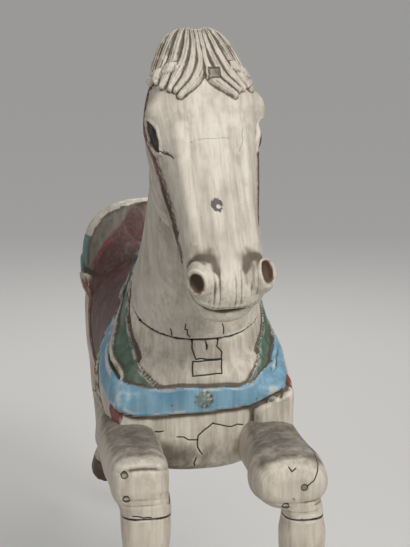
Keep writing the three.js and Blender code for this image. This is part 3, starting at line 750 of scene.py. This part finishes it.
def on_head(body):
    """Moves a body drawn in the head's own frame to its place."""
    return body[0] @ HEAD_AXES.T + HEAD_PLACE, body[1]


def in_head(points):
    """Points in the head's own frame: x across, y up the face, z out of the brow."""
    return (points - HEAD_PLACE) @ HEAD_AXES


def along_line(line, steps):
    """Points at even steps along a smooth curve through the given points."""
    line = np.array(line, float)
    run = np.concatenate([[0], np.cumsum(np.linalg.norm(np.diff(line, axis=0), axis=1))])
    padded = np.vstack([2 * line[0] - line[1], line, 2 * line[-1] - line[-2]])
    t = np.linspace(0, run[-1], steps)
    k = np.clip(np.searchsorted(run, t, side="right") - 1, 0, len(run) - 2)
    s = ((t - run[k]) / (run[k + 1] - run[k]))[:, None]
    a, b, c, d = (padded[k + i] for i in range(4))
    return 0.5 * (2 * b + (c - a) * s + (2 * a - 5 * b + 4 * c - d) * s**2
                  + (3 * b - a - 3 * c + d) * s**3)


def lock(line, width, depth, out, steps=24, sides=10):
    """A lock of hair along a line, as wide and deep as two functions of 0 to 1 say, flat on out."""
    middle = along_line(line, steps)
    t = np.linspace(0, 1, steps)[:, None]
    forward = np.gradient(middle, axis=0)
    forward /= np.linalg.norm(forward, axis=1)[:, None]
    across = np.cross(forward, np.array(out, float))
    across /= np.linalg.norm(across, axis=1)[:, None]
    up = np.cross(across, forward)
    a = np.linspace(0, 2 * np.pi, sides, endpoint=False)[None, :, None]
    return closed_tube(middle[:, None] + across[:, None] * (np.cos(a) * width(t)[:, None])
                       + up[:, None] * (np.sin(a) * depth(t)[:, None]))


def distance_from(points, places):
    """Distance of each point from the nearest of the places."""
    return np.min([np.linalg.norm(points - place, axis=1) for place in places], axis=0)


BROW_BONE = {-1: (55, 6, -32), 1: (62, 13, -32)}  # the left one stands out further and higher
head_forms = [loft(NECK), on_head(loft(FACE, 4.0, 96))]
for side in (-1, 1):
    for centre, radii in (
        (BROW_BONE[side], (33, 31, 25)),
        ((42, -267, -12), (22, 28, 25)),  # flared nostril
        ((32, -78, -98), (48, 76, 68)),  # round cheek
    ):
        head_forms.append(on_head(ball((side * centre[0], centre[1], centre[2]), radii)))
LOWER_LIP = ball((-4, -285, -61), (46, 31, 22))
head = block("carved_neck_and_head", *head_forms, on_head(LOWER_LIP))
remesh(head, 4.0)
smooth(head, 12)

# Ears laid back, three rows of mane locks down the left of the neck, eyeballs, and bored nostrils
MANE_LOCKS, EYE_RADII = 9, (12, 24, 15)
NOSTRILS = (((-54, -281, 0), (11, 15, 14)), ((49, -271, 8), (9, 18, 13)))
swell = lambda low, high, start, run: (lambda t: low + high * np.sin(np.pi * (start + run * t)))
EAR = ((52, 70, -34), (56, 92, -48), (50, 116, -76), (38, 134, -106))
hair = []
for side in (-1, 1):
    ear = lock([(side * x, y, z) for x, y, z in EAR], swell(2, 12, 0.22, 0.74),
               swell(2, 9, 0.2, 0.76), (side, 0, 0.3))
    hair.append(on_head(ear))
for i in range(MANE_LOCKS):
    for j in (-1, 0, 1):
        d = (i + 0.28 * j) / (MANE_LOCKS - 1)
        y, z = 124 + 118 * math.sin(0.5 * math.pi * max(d, -0.04)), 512 - 288 * d
        wide = 42 + 34 * d
        curl = 6 * math.sin(2.1 * i + j)
        line = [(-14, y + 2, z + 20), (0.4 * wide, y + 2, z + 6), (0.86 * wide, y - 14, z - 16),
                (0.98 * wide, y - 24 + curl, z - 42), (1.02 * wide, y - 30 - curl, z - 70 + 3 * j)]
        hair.append(lock(line, swell(3, 5.5, 0.15, 0.8), swell(5, 9, 0.15, 0.8), (1, 0, 0.3), 28))
for side in (-1, 1):
    hair.append(on_head(ball((71.5 * side + 2.5, -31, -39), EYE_RADII)))
for number, body in enumerate(hair):
    cut(head, block(f"lock_{number}", body), "UNION")
for centre, radii in NOSTRILS:
    cut(head, block("nostril", on_head(ball(centre, radii))))
remesh(head, 2.75)
smooth(head, 1)
trim(head, **NECK_PLANE, keep_above=True, gap=GLUE_LINE)

# Cracks of the brow and of the chest above the glue joint. Each is given by where it may run, its
# line, the step and wander of its kinks, and its seed.
on_brow = lambda low: (
    lambda p: (p[:, 2] > low) & (p[:, 2] < 40) & (p[:, 1] > -400) & (p[:, 1] < 200))
on_right_chest = lambda p: (p[:, 1] < 110) & (p[:, 0] < -60)
on_chest = lambda p: p[:, 1] < 60
brow_crack = lambda low, *kinks: (ragged_line(*kinks), (0, 1), in_head, on_brow(low))
chest_crack = lambda where, *kinks: (ragged_line(*kinks), (0, 2), as_is, where)
fine = [
    brow_crack(-30, [(-34, -58), (-10, -55), (26, -54)], 9, 0.4, 21),
    brow_crack(-40, [(48, -36), (43, -62), (38, -74)], 6, 0.8, 22),
]
marks = [
    brow_crack(-50, [(-76, -54), (-66, -66), (-58, -78)], 5, 0.6, 23),
    chest_crack(on_right_chest, [(-90, 118), (-91, 102)], 5, 1.2, 24),
    chest_crack(on_chest, [(-47, 110), (-45, 100)], 5, 1.2, 25),
    chest_crack(on_chest, [(-24, 118), (-22, 102), (-18, 98)], 5, 1.0, 26),
    chest_crack(on_chest, [(33, 116), (35, 100)], 5, 1.0, 27),
]
crack(head, marks, width=1.1)
crack(head, fine, width=0.7, depth=0.6)

# The forelock: strands that fan from the poll and sweep outwards, raised along lines on the skin
STRANDS_A_SIDE, HAIR_RISE, HAIR_WIDE = 6, 8.5, 10.5
PARTING_DEPTH, HAIR_LINES, HAIR_LINE_DEPTH = 2.8, 4.5, 0.6
PLUG_MIDDLE, PLUG_HALF, PLUG_RISE, PLUG_GROOVE = (12, 46), 8.0, 7.0, 1.6


def strands(side):
    """The middle lines of the strands on one side. The left ones sweep out a little further."""
    lean = 1 if side < 0 else 1.12
    for o in np.linspace(0, 1, STRANDS_A_SIDE):
        line = [(3 + 34 * o, 147 - 10 * o), (4 + 48 * o, 102 - 5 * o), (6 + 63 * o, 63 + 20 * o),
                (21 + 57 * o, 33 + 40 * o),
                ((46 + 36 * o) * lean, 9 + 52 * o + 3 * math.sin(9 * o))]
        yield np.array([(side * (x + 1.6 * math.sin(y / 11 + 7 * o)) - 2 * (1 - o), y, 45 - 75 * o)
                        for x, y in line])


def off_hair(points):
    """0 where the forelock needs a finer mesh, and far from it elsewhere."""
    h = in_head(points)
    return np.where((h[:, 1] > 0) & (h[:, 2] > -75), 0.0, 9.0)


split_near(head, off_hair, reaches=(1.0,))
points, normals = points_of(head)
h = in_head(points)
skin = BVHTree.FromPolygons(h.tolist(), [tuple(f.vertices) for f in head.data.polygons])
near_hair = (h[:, 1] > -6) & (h[:, 2] > -90)
first, second = np.full(len(h), 99.0), np.full(len(h), 99.0)
for side in (-1, 1):
    for line in strands(side):
        path = np.array([skin.find_nearest(Vector(q))[0] for q in along_line(line, 50)])
        thin_end = np.interp(np.linspace(0, 1, len(path)), [0, 0.72, 1], [1, 1, 0.45])
        reach = np.full(len(h), 99.0)
        reach[near_hair] = np.min([np.linalg.norm(h[near_hair] - q, axis=1) / k
                                   for q, k in zip(path, thin_end)], axis=0)
        second = np.where(reach < first, first, np.minimum(second, reach))
        first = np.minimum(first, reach)
parting = bell(second - first, 3.4) * (first < HAIR_WIDE) * np.clip((first - 1.5) / 4, 0, 1)
plug = np.max(np.abs(h[:, :2] - PLUG_MIDDLE), axis=1) - PLUG_HALF  # square repair let into the hair
hair_rise = HAIR_RISE * np.sqrt(np.clip(1 - (first / HAIR_WIDE) ** 2, 0, 1))
combed = HAIR_LINE_DEPTH * np.cos(2 * np.pi * first / HAIR_LINES) * (first < HAIR_WIDE - 1)
hair_rise -= parting * PARTING_DEPTH + combed
hair_rise = np.where((plug < 0) & near_hair, PLUG_RISE, hair_rise)
hair_rise -= PLUG_GROOVE * bell(plug, 1.2) * near_hair
put(head, points + hair_rise.clip(0)[:, None] * normals)

# Bridle strap, eyelids and the hollow round the eye, drawn from the side and worked on both sides
BRIDLE = [(58, 60), (74, 60), (68, -24), (54, -60), (0, -80), (-50, -64), (-100, -58),
          (-200, -60), (-228, -58), (-228, -47), (-200, -46), (-100, -44), (-50, -50), (0, -64),
          (44, -46), (54, -18)]
EYE = [(-58, -34), (-44, -27), (-26, -26), (-8, -30), (2, -40), (-8, -50), (-30, -54), (-50, -46)]
BRIDLE_RISE, LID_RISE, EYE_DEPTH = 3.0, 3.0, 1.5
points, normals = points_of(head)
gap = crack_distance(points, marks)
h = in_head(points)
hx, hy, hz = h.T
on_cheek = (hz > -110) & (np.abs(hx) > 40) & (hy > -260) & (hy < 70)
bridle_gap = np.where(on_cheek, outline_distance(h[:, 1:], BRIDLE)[0], 50)
points += (BRIDLE_RISE * step_up(bridle_gap, 2.4))[:, None] * normals
eye_gap = np.where((np.abs(hx) > 52) & (hz > -70), outline_distance(h[:, 1:], EYE)[0], 50)
points += (LID_RISE * bell(eye_gap - 1.5, 2.2) - EYE_DEPTH * step_up(eye_gap, 3))[:, None] * normals

# Ridges and furrows of both sides of the face: a line on two axes, how high and how wide
NOSTRIL_RIM, MOUTH_DEPTH, LIP_RISE, LIP_WRINKLE, LIP_WRINKLES = 2.2, 5.5, 2.4, 0.8, 7.5
carving = np.zeros(len(points))
for s in (-1, 1):
    under, top, temple = (hx * s > 40) & (hz < -30), hz > -40, (hz > -52) & (hz < -10)
    for line, axes, place, height, width in (
        ([(-18, -82), (-60, -94), (-104, -97), (-150, -86), (-190, -70)], (1, 2), under, 3.0, 4.5),
        ([(-60, -72), (-110, -76), (-150, -70)], (1, 2), under, -2.5, 11),
        ([(s * 50, -30), (s * 50, -80), (s * 46, -150), (s * 44, -215)], (0, 1), top, 3.2, 7),
        ([(s * 32, -40), (s * 34, -90), (s * 31, -160), (s * 28, -225)], (0, 1), top, -2.4, 9),
        ([(s * 70, -62), (s * 66, -110), (s * 60, -180)], (0, 1), temple, -2.5, 8),
        ([(s * 22, -262), (s * 34, -258), (s * 44, -244)], (0, 1), top, -3.0, 9),
    ):
        away = outline_distance(h[:, axes], along_line(line, 24), closed=False)[0]
        carving += height * bell(away, width) * place
for centre, radii in NOSTRILS:
    out = np.linalg.norm((h - centre) / (np.array(radii) + 3.5), axis=1)
    carving += NOSTRIL_RIM * bell(out - 1, 0.15)
MOUTH = [(-60, -258, -44), (-55, -280, -44), (-44, -297, -44), (-16, -305, -45), (10, -305, -44),
         (34, -299, -40), (48, -284, -38), (57, -260, -40)]
UPPER_LIP = [(-56, -268, -34), (-50, -286, -32), (-36, -299, -30), (-12, -304, -29),
             (12, -304, -28), (34, -296, -26)]
mouth_gap = np.where(hy < -235, distance_from(h, along_line(MOUTH, 90)), 99)
carving -= MOUTH_DEPTH * bell(mouth_gap, 2.8)
carving += LIP_RISE * bell(distance_from(h, along_line(UPPER_LIP, 40)), 3.2)
lips = (hy < -262) & (np.abs(hx) < 34) & (hz > -38)
wrinkles = LIP_WRINKLE * np.cos(hx * 2 * np.pi / LIP_WRINKLES) * np.clip((-262 - hy) / 14, 0, 1)
glue, seam = neck_joint(points, normals)
carving += lips * wrinkles - seam
points += carving[:, None] * normals
put(head, points)

# Where each colour lies, as a distance that is negative inside
hole = np.min([np.linalg.norm((h - centre) / (np.array(radii) + 1.0), axis=1)
               for centre, radii in NOSTRILS], axis=0)
lost = np.hypot((hx + 7) * 1.15, hy + 160) - 10 + 1.3 * np.sin(0.9 * hx + 2 * np.sin(hy / 4))
left_in_it = 3.2 - np.hypot(hx + 5, hy + 163)  # an island of paint in the lost patch
tag(head, "bridle", np.where(first < HAIR_WIDE + 1, 9, bridle_gap))
tag(head, "eye", eye_gap + 1.0)
tag(head, "nostril", 12 * (hole - 1.0))
tag(head, "lost_patch", np.where(hz > -30, np.maximum(lost, left_in_it), 50))
fine_gap = crack_distance(points, fine)
tag(head, "crack", np.max([np.clip(1.25 - gap / 1.2, 0, 1), bell(mouth_gap, 2.3),
                           0.55 * np.clip(1.2 - fine_gap / 0.9, 0, 1),
                           np.clip(1.15 - np.abs(glue) / 2.0, 0, 1)], axis=0))

# Grime and painted shade in the hair, grime on the muzzle, darker round the mouth and nostrils, and
# dark joints
blotch = np.sin(hx / 6 + 1.4 * np.sin(hy / 13)) * np.sin(hy / 10 + np.sin(hx / 9)) > 0
# In the hair: painted shade towards the poll and in the partings, and grime in blotches
hair_dirt_and_shade = 0.22 + 0.55 * np.clip((hy - 50) / 60, 0, 1) + 0.25 * blotch
hair_dirt_and_shade += (0.45 * blotch + 0.1) * parting
hair_dirt_and_shade *= (near_hair & (first < HAIR_WIDE + 1)) * np.clip(0.4 + first / HAIR_WIDE, 0, 1)
muzzle = 0.95 * bell(hy + 243, 15) * bell(np.abs(hx) - 36, 25) * (hz > -35)
repair = (hz > -10) * (0.45 * (plug < 0) + 0.9 * bell(plug, 1.5))
mouth_darkening = 0.35 * bell(mouth_gap, 9) + 0.25 * lips * (np.sin(hx / 5) > 0.2)
joints = 0.9 * bell(hole, 0.75) + 1.5 * bell(glue, 1.8)
weather_and_shade(head, hair_dirt_and_shade + muzzle + repair + mouth_darkening + joints)

# The same oil paint, a little greyer: oxide red on the bridle, black eyes, flesh pink in the
# nostrils and a patch on the nose lost down to a grey underlayer.
face_paint = old_paint("aged_face_paint", "#d0c7b9", "#a99e8f", lean=-35.0, areas=(
    ("bridle", "#6b3a33", "#40302b"),
    ("eye", "#15171c", "#1f2327"),
    ("nostril", "#9a6451", "#5f382c"),
    ("lost_patch", "#565052", "#3e3a3b"),
))
painted(head, face_paint)
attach(head, "root")
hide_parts("neck_and_head")

# ---- Forelegs ----------------------------------------------------------------------------------
# Each is two blocks of lime wood: a level forearm glued to the breast, which ends in the knee, and
# the shin with the hoof, glued on below the knee and hanging from it.

SHIN_PLANE = {"through": (0, 0, -117), "lean": 0}
KNEE_FOLDS = {  # height, depth, width and arch of each wrinkle
    "foreleg_right": ((-42, 2.6, 3.6, -7), (-80, 0.9, 1.6, -4), (-88, 0.8, 1.4, -3),
                      (-96, 0.9, 1.6, -3), (-104, 0.6, 1.2, -2)),
    "foreleg_left": ((-92, 0.9, 2.0, 5), (-99, 1.0, 1.8, 4), (-106, 1.2, 2.2, 2)),
}
KNEE_CRACKS = {
    "foreleg_right": ([(-76, -38), (-74, -70), (-76, -100)], [(-130, -112), (-104, -115)]),
    "foreleg_left": ([(114, -66), (124, -58), (132, -42), (135, -36)],
                     [(88, -38), (92, -44), (98, -40)]),
}
KNEE_PLUGS = {"foreleg_right": ((-141, -50), (-139, -86)), "foreleg_left": ((110, -68), (84, -96))}
PLUG_RADIUS = 5
ahead_of_knee = lambda p: p[:, 1] < -150

# Cream oil paint as on the trunk, darker with handling, over hooves of a stained brown.
leg_paint = old_paint("aged_leg_paint", "#cbc1b1", "#a3978a", dirt_and_shade_color="#3f3429", areas=(
    ("hoof", "#6b4a35", "#43301f"),
))


def foreleg(name, reach, root, knee, shin, half, boxy, waist):
    """One foreleg: how far forward it reaches, how far out each of its parts lies, its shape."""
    forearm = rings(
        (-181 - reach, -68, 0, half - 20, 14, 18, boxy, 0, knee),
        (-178 - reach, -67, 0, half - 11, 24, 27, boxy, 0, knee),
        (-170 - reach, -66, 0, half - 4, 32, 36, boxy, 0, knee),
        (-150 - reach, -66, 0, half, 38, 42, boxy, 0, knee),
        (-120 - reach, -67, 0, half + 1, 40, 44, 2.7, 0, knee),
        (-80 - reach, -72, 0, (half + 47) / 2, 40, 44, 2.7, 0, (knee + root) / 2),
        (-30, -78, 0, 46, 42, 48, 2.7, 0, root),
        (40, -78, 0, 46, 46, 52, 2.4, 0, root),
        (110, -60, 0, 38, 40, 50, 2.2, 0, root),
    )
    hanging = rings(
        (-84, -384, 122, 36, 44, 34, 2.2, 0, shin), (-110, -346, 120, 29, 30, 27, 2.2, 0, shin),
        (-126, -320, 116, 23, 21, 21, 2.2, 0, shin), (-140, -290, 102, 28, 25, 28, 2.3, 0, shin),
        (-146, -255, 93, 28, 22, 23, 2.4, 0, shin), (-149, -190, 90, 32, 26, 26, 2.5, 0, shin),
        (-150, -146, 90, 36 - waist / 3, 31, 32, 2.6, 0, shin),
        (-150, -116, 90, 37 - waist, 31, 32, 2.7, 0, shin),
        (-148, -94, 88, 39 - waist / 2, 32, 38, boxy, 0, (shin + knee) / 2),
        (-144, -62, 84, 34, 30, 40, 2.3, 0, knee),
    )
    hanging[:, 0] -= reach
    upper = block(f"carved_{name}_upper", loft(forearm), loft(hanging))
    remesh(upper, 3.0)
    smooth(upper, 8 if boxy < 3 else 5)
    trim(upper, **SHIN_PLANE, keep_above=True, gap=GLUE_LINE)
    lower = block(f"carved_{name}_lower", loft(hanging))
    remesh(lower, 3.0)
    smooth(lower, 3)
    trim(lower, **SHIN_PLANE, keep_above=False)
    round_plug = [(PLUG_RADIUS * math.cos(t), PLUG_RADIUS * math.sin(t))
                  for t in np.linspace(0, 2 * math.pi, 13)]
    for part, node in ((upper, name + "_upper"), (lower, name + "_lower")):
        marks = [(ragged_line(line, 5, 0.5, 31 + k), (0, 2), as_is, ahead_of_knee)
                 for k, line in enumerate(KNEE_CRACKS[name])]
        rims = [([(at_x + out_x, at_z + out_z) for out_x, out_z in round_plug],
                 (0, 2), as_is, ahead_of_knee) for at_x, at_z in KNEE_PLUGS[name]]
        crack(part, marks + rims, width=1.0, depth=1.4)
        points, normals = points_of(part)
        x, y, z = points.T
        glue = np.abs(z - SHIN_PLANE["through"][2])
        sunk = 1.2 * np.clip(1 - glue / 2.5, 0, 1) * (np.abs(normals[:, 2]) < 0.7)
        front = np.clip(-normals[:, 1], 0, 1)
        across = (x - knee) / half
        for height, deep, wide, arch in KNEE_FOLDS[name]:
            bent = z - height - arch * across**2
            sunk += front * deep * (bell(bent, wide) - 0.5 * bell(bent - 2 * wide, wide))
        plug = sum((np.hypot(x - at_x, z - at_z) < PLUG_RADIUS) * ahead_of_knee(points)
                   for at_x, at_z in KNEE_PLUGS[name])
        sunk += 0.7 * plug
        put(part, points - sunk[:, None] * normals)
        crack_gap, rim_gap = crack_distance(points, marks), crack_distance(points, rims)
        tag(part, "crack", np.max([np.clip(1.1 - glue / 1.6, 0, 1),
                                   np.clip(1.25 - crack_gap / 1.3, 0, 1),
                                   0.55 * np.clip(1.25 - rim_gap / 1.3, 0, 1)], axis=0))
        tag(part, "hoof", z + 0.55 * (y + reach) + 392)
        # Painted shade on the tops of the forearms, under the breast and deeper towards the body;
        # darker also in the deepest folds, at the glue joint and on the plugs
        top_shade = np.clip(normals[:, 2] * 1.5 - 0.15, 0, 1) * (z > -100)
        top_shade *= np.clip((y + reach + 182) / 22, 0.25, 1)
        weather_and_shade(part, 0.65 * top_shade + 0.14 * (sunk > 0.6) + 0.4 * plug)
        painted(part, leg_paint)
        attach(part, "root")
        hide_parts(node)


foreleg("foreleg_right", reach=0, root=-114, knee=-116, shin=-108, half=42, boxy=3.4, waist=0)
foreleg("foreleg_left", reach=40, root=105, knee=96, shin=115, half=54, boxy=2.2, waist=8)

# ---- Hind legs ---------------------------------------------------------------------------------
# Below each carved thigh, two blocks of lime wood glued end to end: the gaskin with the hock, and
# the shin with the hoof.

HOCK_PLANE = {"through": (0, 0, -228), "lean": 0}
for side, name in ((-1, "hind_leg_right"), (1, "hind_leg_left")):
    upper = block(f"carved_{name}_upper", hind_leg(side))
    remesh(upper, 3.2)
    smooth(upper, 3)
    trim(upper, **GASKIN_PLANE, keep_above=False, gap=-GLUE_LINE)
    lower = upper.copy()
    lower.data, lower.name = upper.data.copy(), f"carved_{name}_lower"
    bpy.context.scene.collection.objects.link(lower)
    trim(upper, **HOCK_PLANE, keep_above=True, gap=GLUE_LINE)
    trim(lower, **HOCK_PLANE, keep_above=False)
    for part, node in ((upper, name + "_upper"), (lower, name + "_lower")):
        x, y, z = points_of(part)[0].T
        tag(part, "crack", np.clip(1.1 - np.abs(z - HOCK_PLANE["through"][2]) / 1.6, 0, 1))
        tag(part, "hoof", z + 404 - 0.4 * (y - 860))
        weather_and_shade(part)
        painted(part, leg_paint)
        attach(part, "root")
        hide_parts(node)

# ---- Tail --------------------------------------------------------------------------------------
# One carved piece of lime wood, of ten waved locks round a middle one, let into the rump and glued.

LOCKS_ROUND = 10
tail_locks = []
for i in range(LOCKS_ROUND + 1):
    turn = 2 * math.pi * i / LOCKS_ROUND
    cx, cy = (math.cos(turn), math.sin(turn)) if i < LOCKS_ROUND else (0.0, 0.0)
    wave = 5 * math.sin(1.7 * i)
    line = [(4 * cx, 862, 58 + 8 * cy), (12 * cx, 912 + 9 * cy, 54 + 6 * cy),
            (24 * cx, 944 + 15 * cy, -10), (31 * cx + wave, 948 + 16 * cy, -100),
            (22 * cx - wave, 928 + 12 * cy, -190 - 6 * (i % 3)),
            (6 * cx, 902 + 4 * cy, -262 - 9 * (i % 3))]
    thickness = swell(3, 11, 0.16, 0.8)
    tail_locks.append(lock(line, thickness, thickness, (1, 0, 0), steps=60, sides=16))
tail = block("carved_tail", *tail_locks)
remesh(tail, 2.8)
smooth(tail, 1)
tag(tail, "crack", np.zeros(len(tail.data.vertices)))
weather_and_shade(tail)

# Brown oil paint over the same wood: dark on the locks, with pale dust in the grooves.
painted(tail, old_paint("brown_tail_paint", "#54473c", "#3a3029", dirt_and_shade_color="#8a7b69"))
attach(tail, "root")
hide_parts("tail")

# ---- Floor, light and camera -------------------------------------------------------------------
# A plain pale floor under a soft key, a weak fill, a rim light and an even light from overhead. The
# camera stands before the breast on the horse's right, looking down at it.

# Matt painted board: pale and even, with no shine.
matt, shader = bare_material("pale_floor")
feed(matt, shader, {"Base Color": linear("#d9d7d3"), "Roughness": 0.9})
FLOOR = 300  # half its width in metres, so that no edge of it shows
corners = [(-FLOOR, -FLOOR, 0), (FLOOR, -FLOOR, 0), (FLOOR, FLOOR, 0), (-FLOOR, FLOOR, 0)]
floor_mesh = bpy.data.meshes.new("floor")
floor_mesh.from_pydata(corners, [], [(0, 1, 2, 3)])
floor_mesh.materials.append(matt)
floor = bpy.data.objects.new("floor", floor_mesh)
bpy.context.scene.collection.objects.link(floor)

world = bpy.data.worlds.new("studio")
bpy.context.scene.world = world
world.use_nodes = True
feed(world, world.node_tree.nodes["Background"], {"Color": linear("#e6e8ec"), "Strength": 0.24})
for name, place, target, size, power in (  # places and sizes in metres, power in watts
    ("key", (0.9, -2.6, 2.6), (0, -0.5, 0.8), 1.0, 50),
    ("fill", (-2.4, -2.0, 1.6), (0, -0.4, 0.7), 1.8, 9),
    ("rim", (0.5, 2.6, 2.6), (0, 0, 0.7), 1.8, 26),
):
    lamp = bpy.data.lights.new(name, "AREA")
    lamp.shape, lamp.size, lamp.energy = "DISK", size, power
    light = bpy.data.objects.new(name, lamp)
    light.location = place
    light.rotation_euler = (Vector(target) - Vector(place)).to_track_quat("-Z", "Y").to_euler()
    bpy.context.scene.collection.objects.link(light)

# The light from overhead is broad, and keeps the floor pale into the distance
overhead = bpy.data.lights.new("overhead", "SUN")
overhead.energy, overhead.angle = 1.0, math.radians(60)
light = bpy.data.objects.new("overhead", overhead)
light.rotation_euler = (math.radians(28), 0, math.radians(20))
bpy.context.scene.collection.objects.link(light)


def heading(aside, up):
    """The direction so many degrees to the horse's left of straight back, and so many up."""
    a, e = math.radians(aside), math.radians(up)
    return Vector((math.sin(a) * math.cos(e), math.cos(a) * math.cos(e), math.sin(e)))


# Metres from the rosette to the camera, degrees to its place, to where it looks, and upright view
DISTANCE, CAMERA_ASIDE, CAMERA_BELOW = 2.0, 9.5, -18.0
LOOK_ASIDE, LOOK_UP, UPRIGHT_VIEW = 9.64, -12.44, 24.122
lens = bpy.data.cameras.new("camera")
lens.sensor_fit = "VERTICAL"
lens.angle = math.radians(UPRIGHT_VIEW)
lens.clip_start, lens.clip_end = 0.05, 2 * FLOOR
camera = bpy.data.objects.new("camera", lens)
bpy.context.scene.collection.objects.link(camera)
bpy.context.scene.camera = camera
camera.location = Vector(HORSE / 1000) - DISTANCE * heading(CAMERA_ASIDE, CAMERA_BELOW)
camera.rotation_euler = heading(LOOK_ASIDE, LOOK_UP).to_track_quat("-Z", "Y").to_euler()
bpy.context.scene.view_settings.view_transform = "Standard"
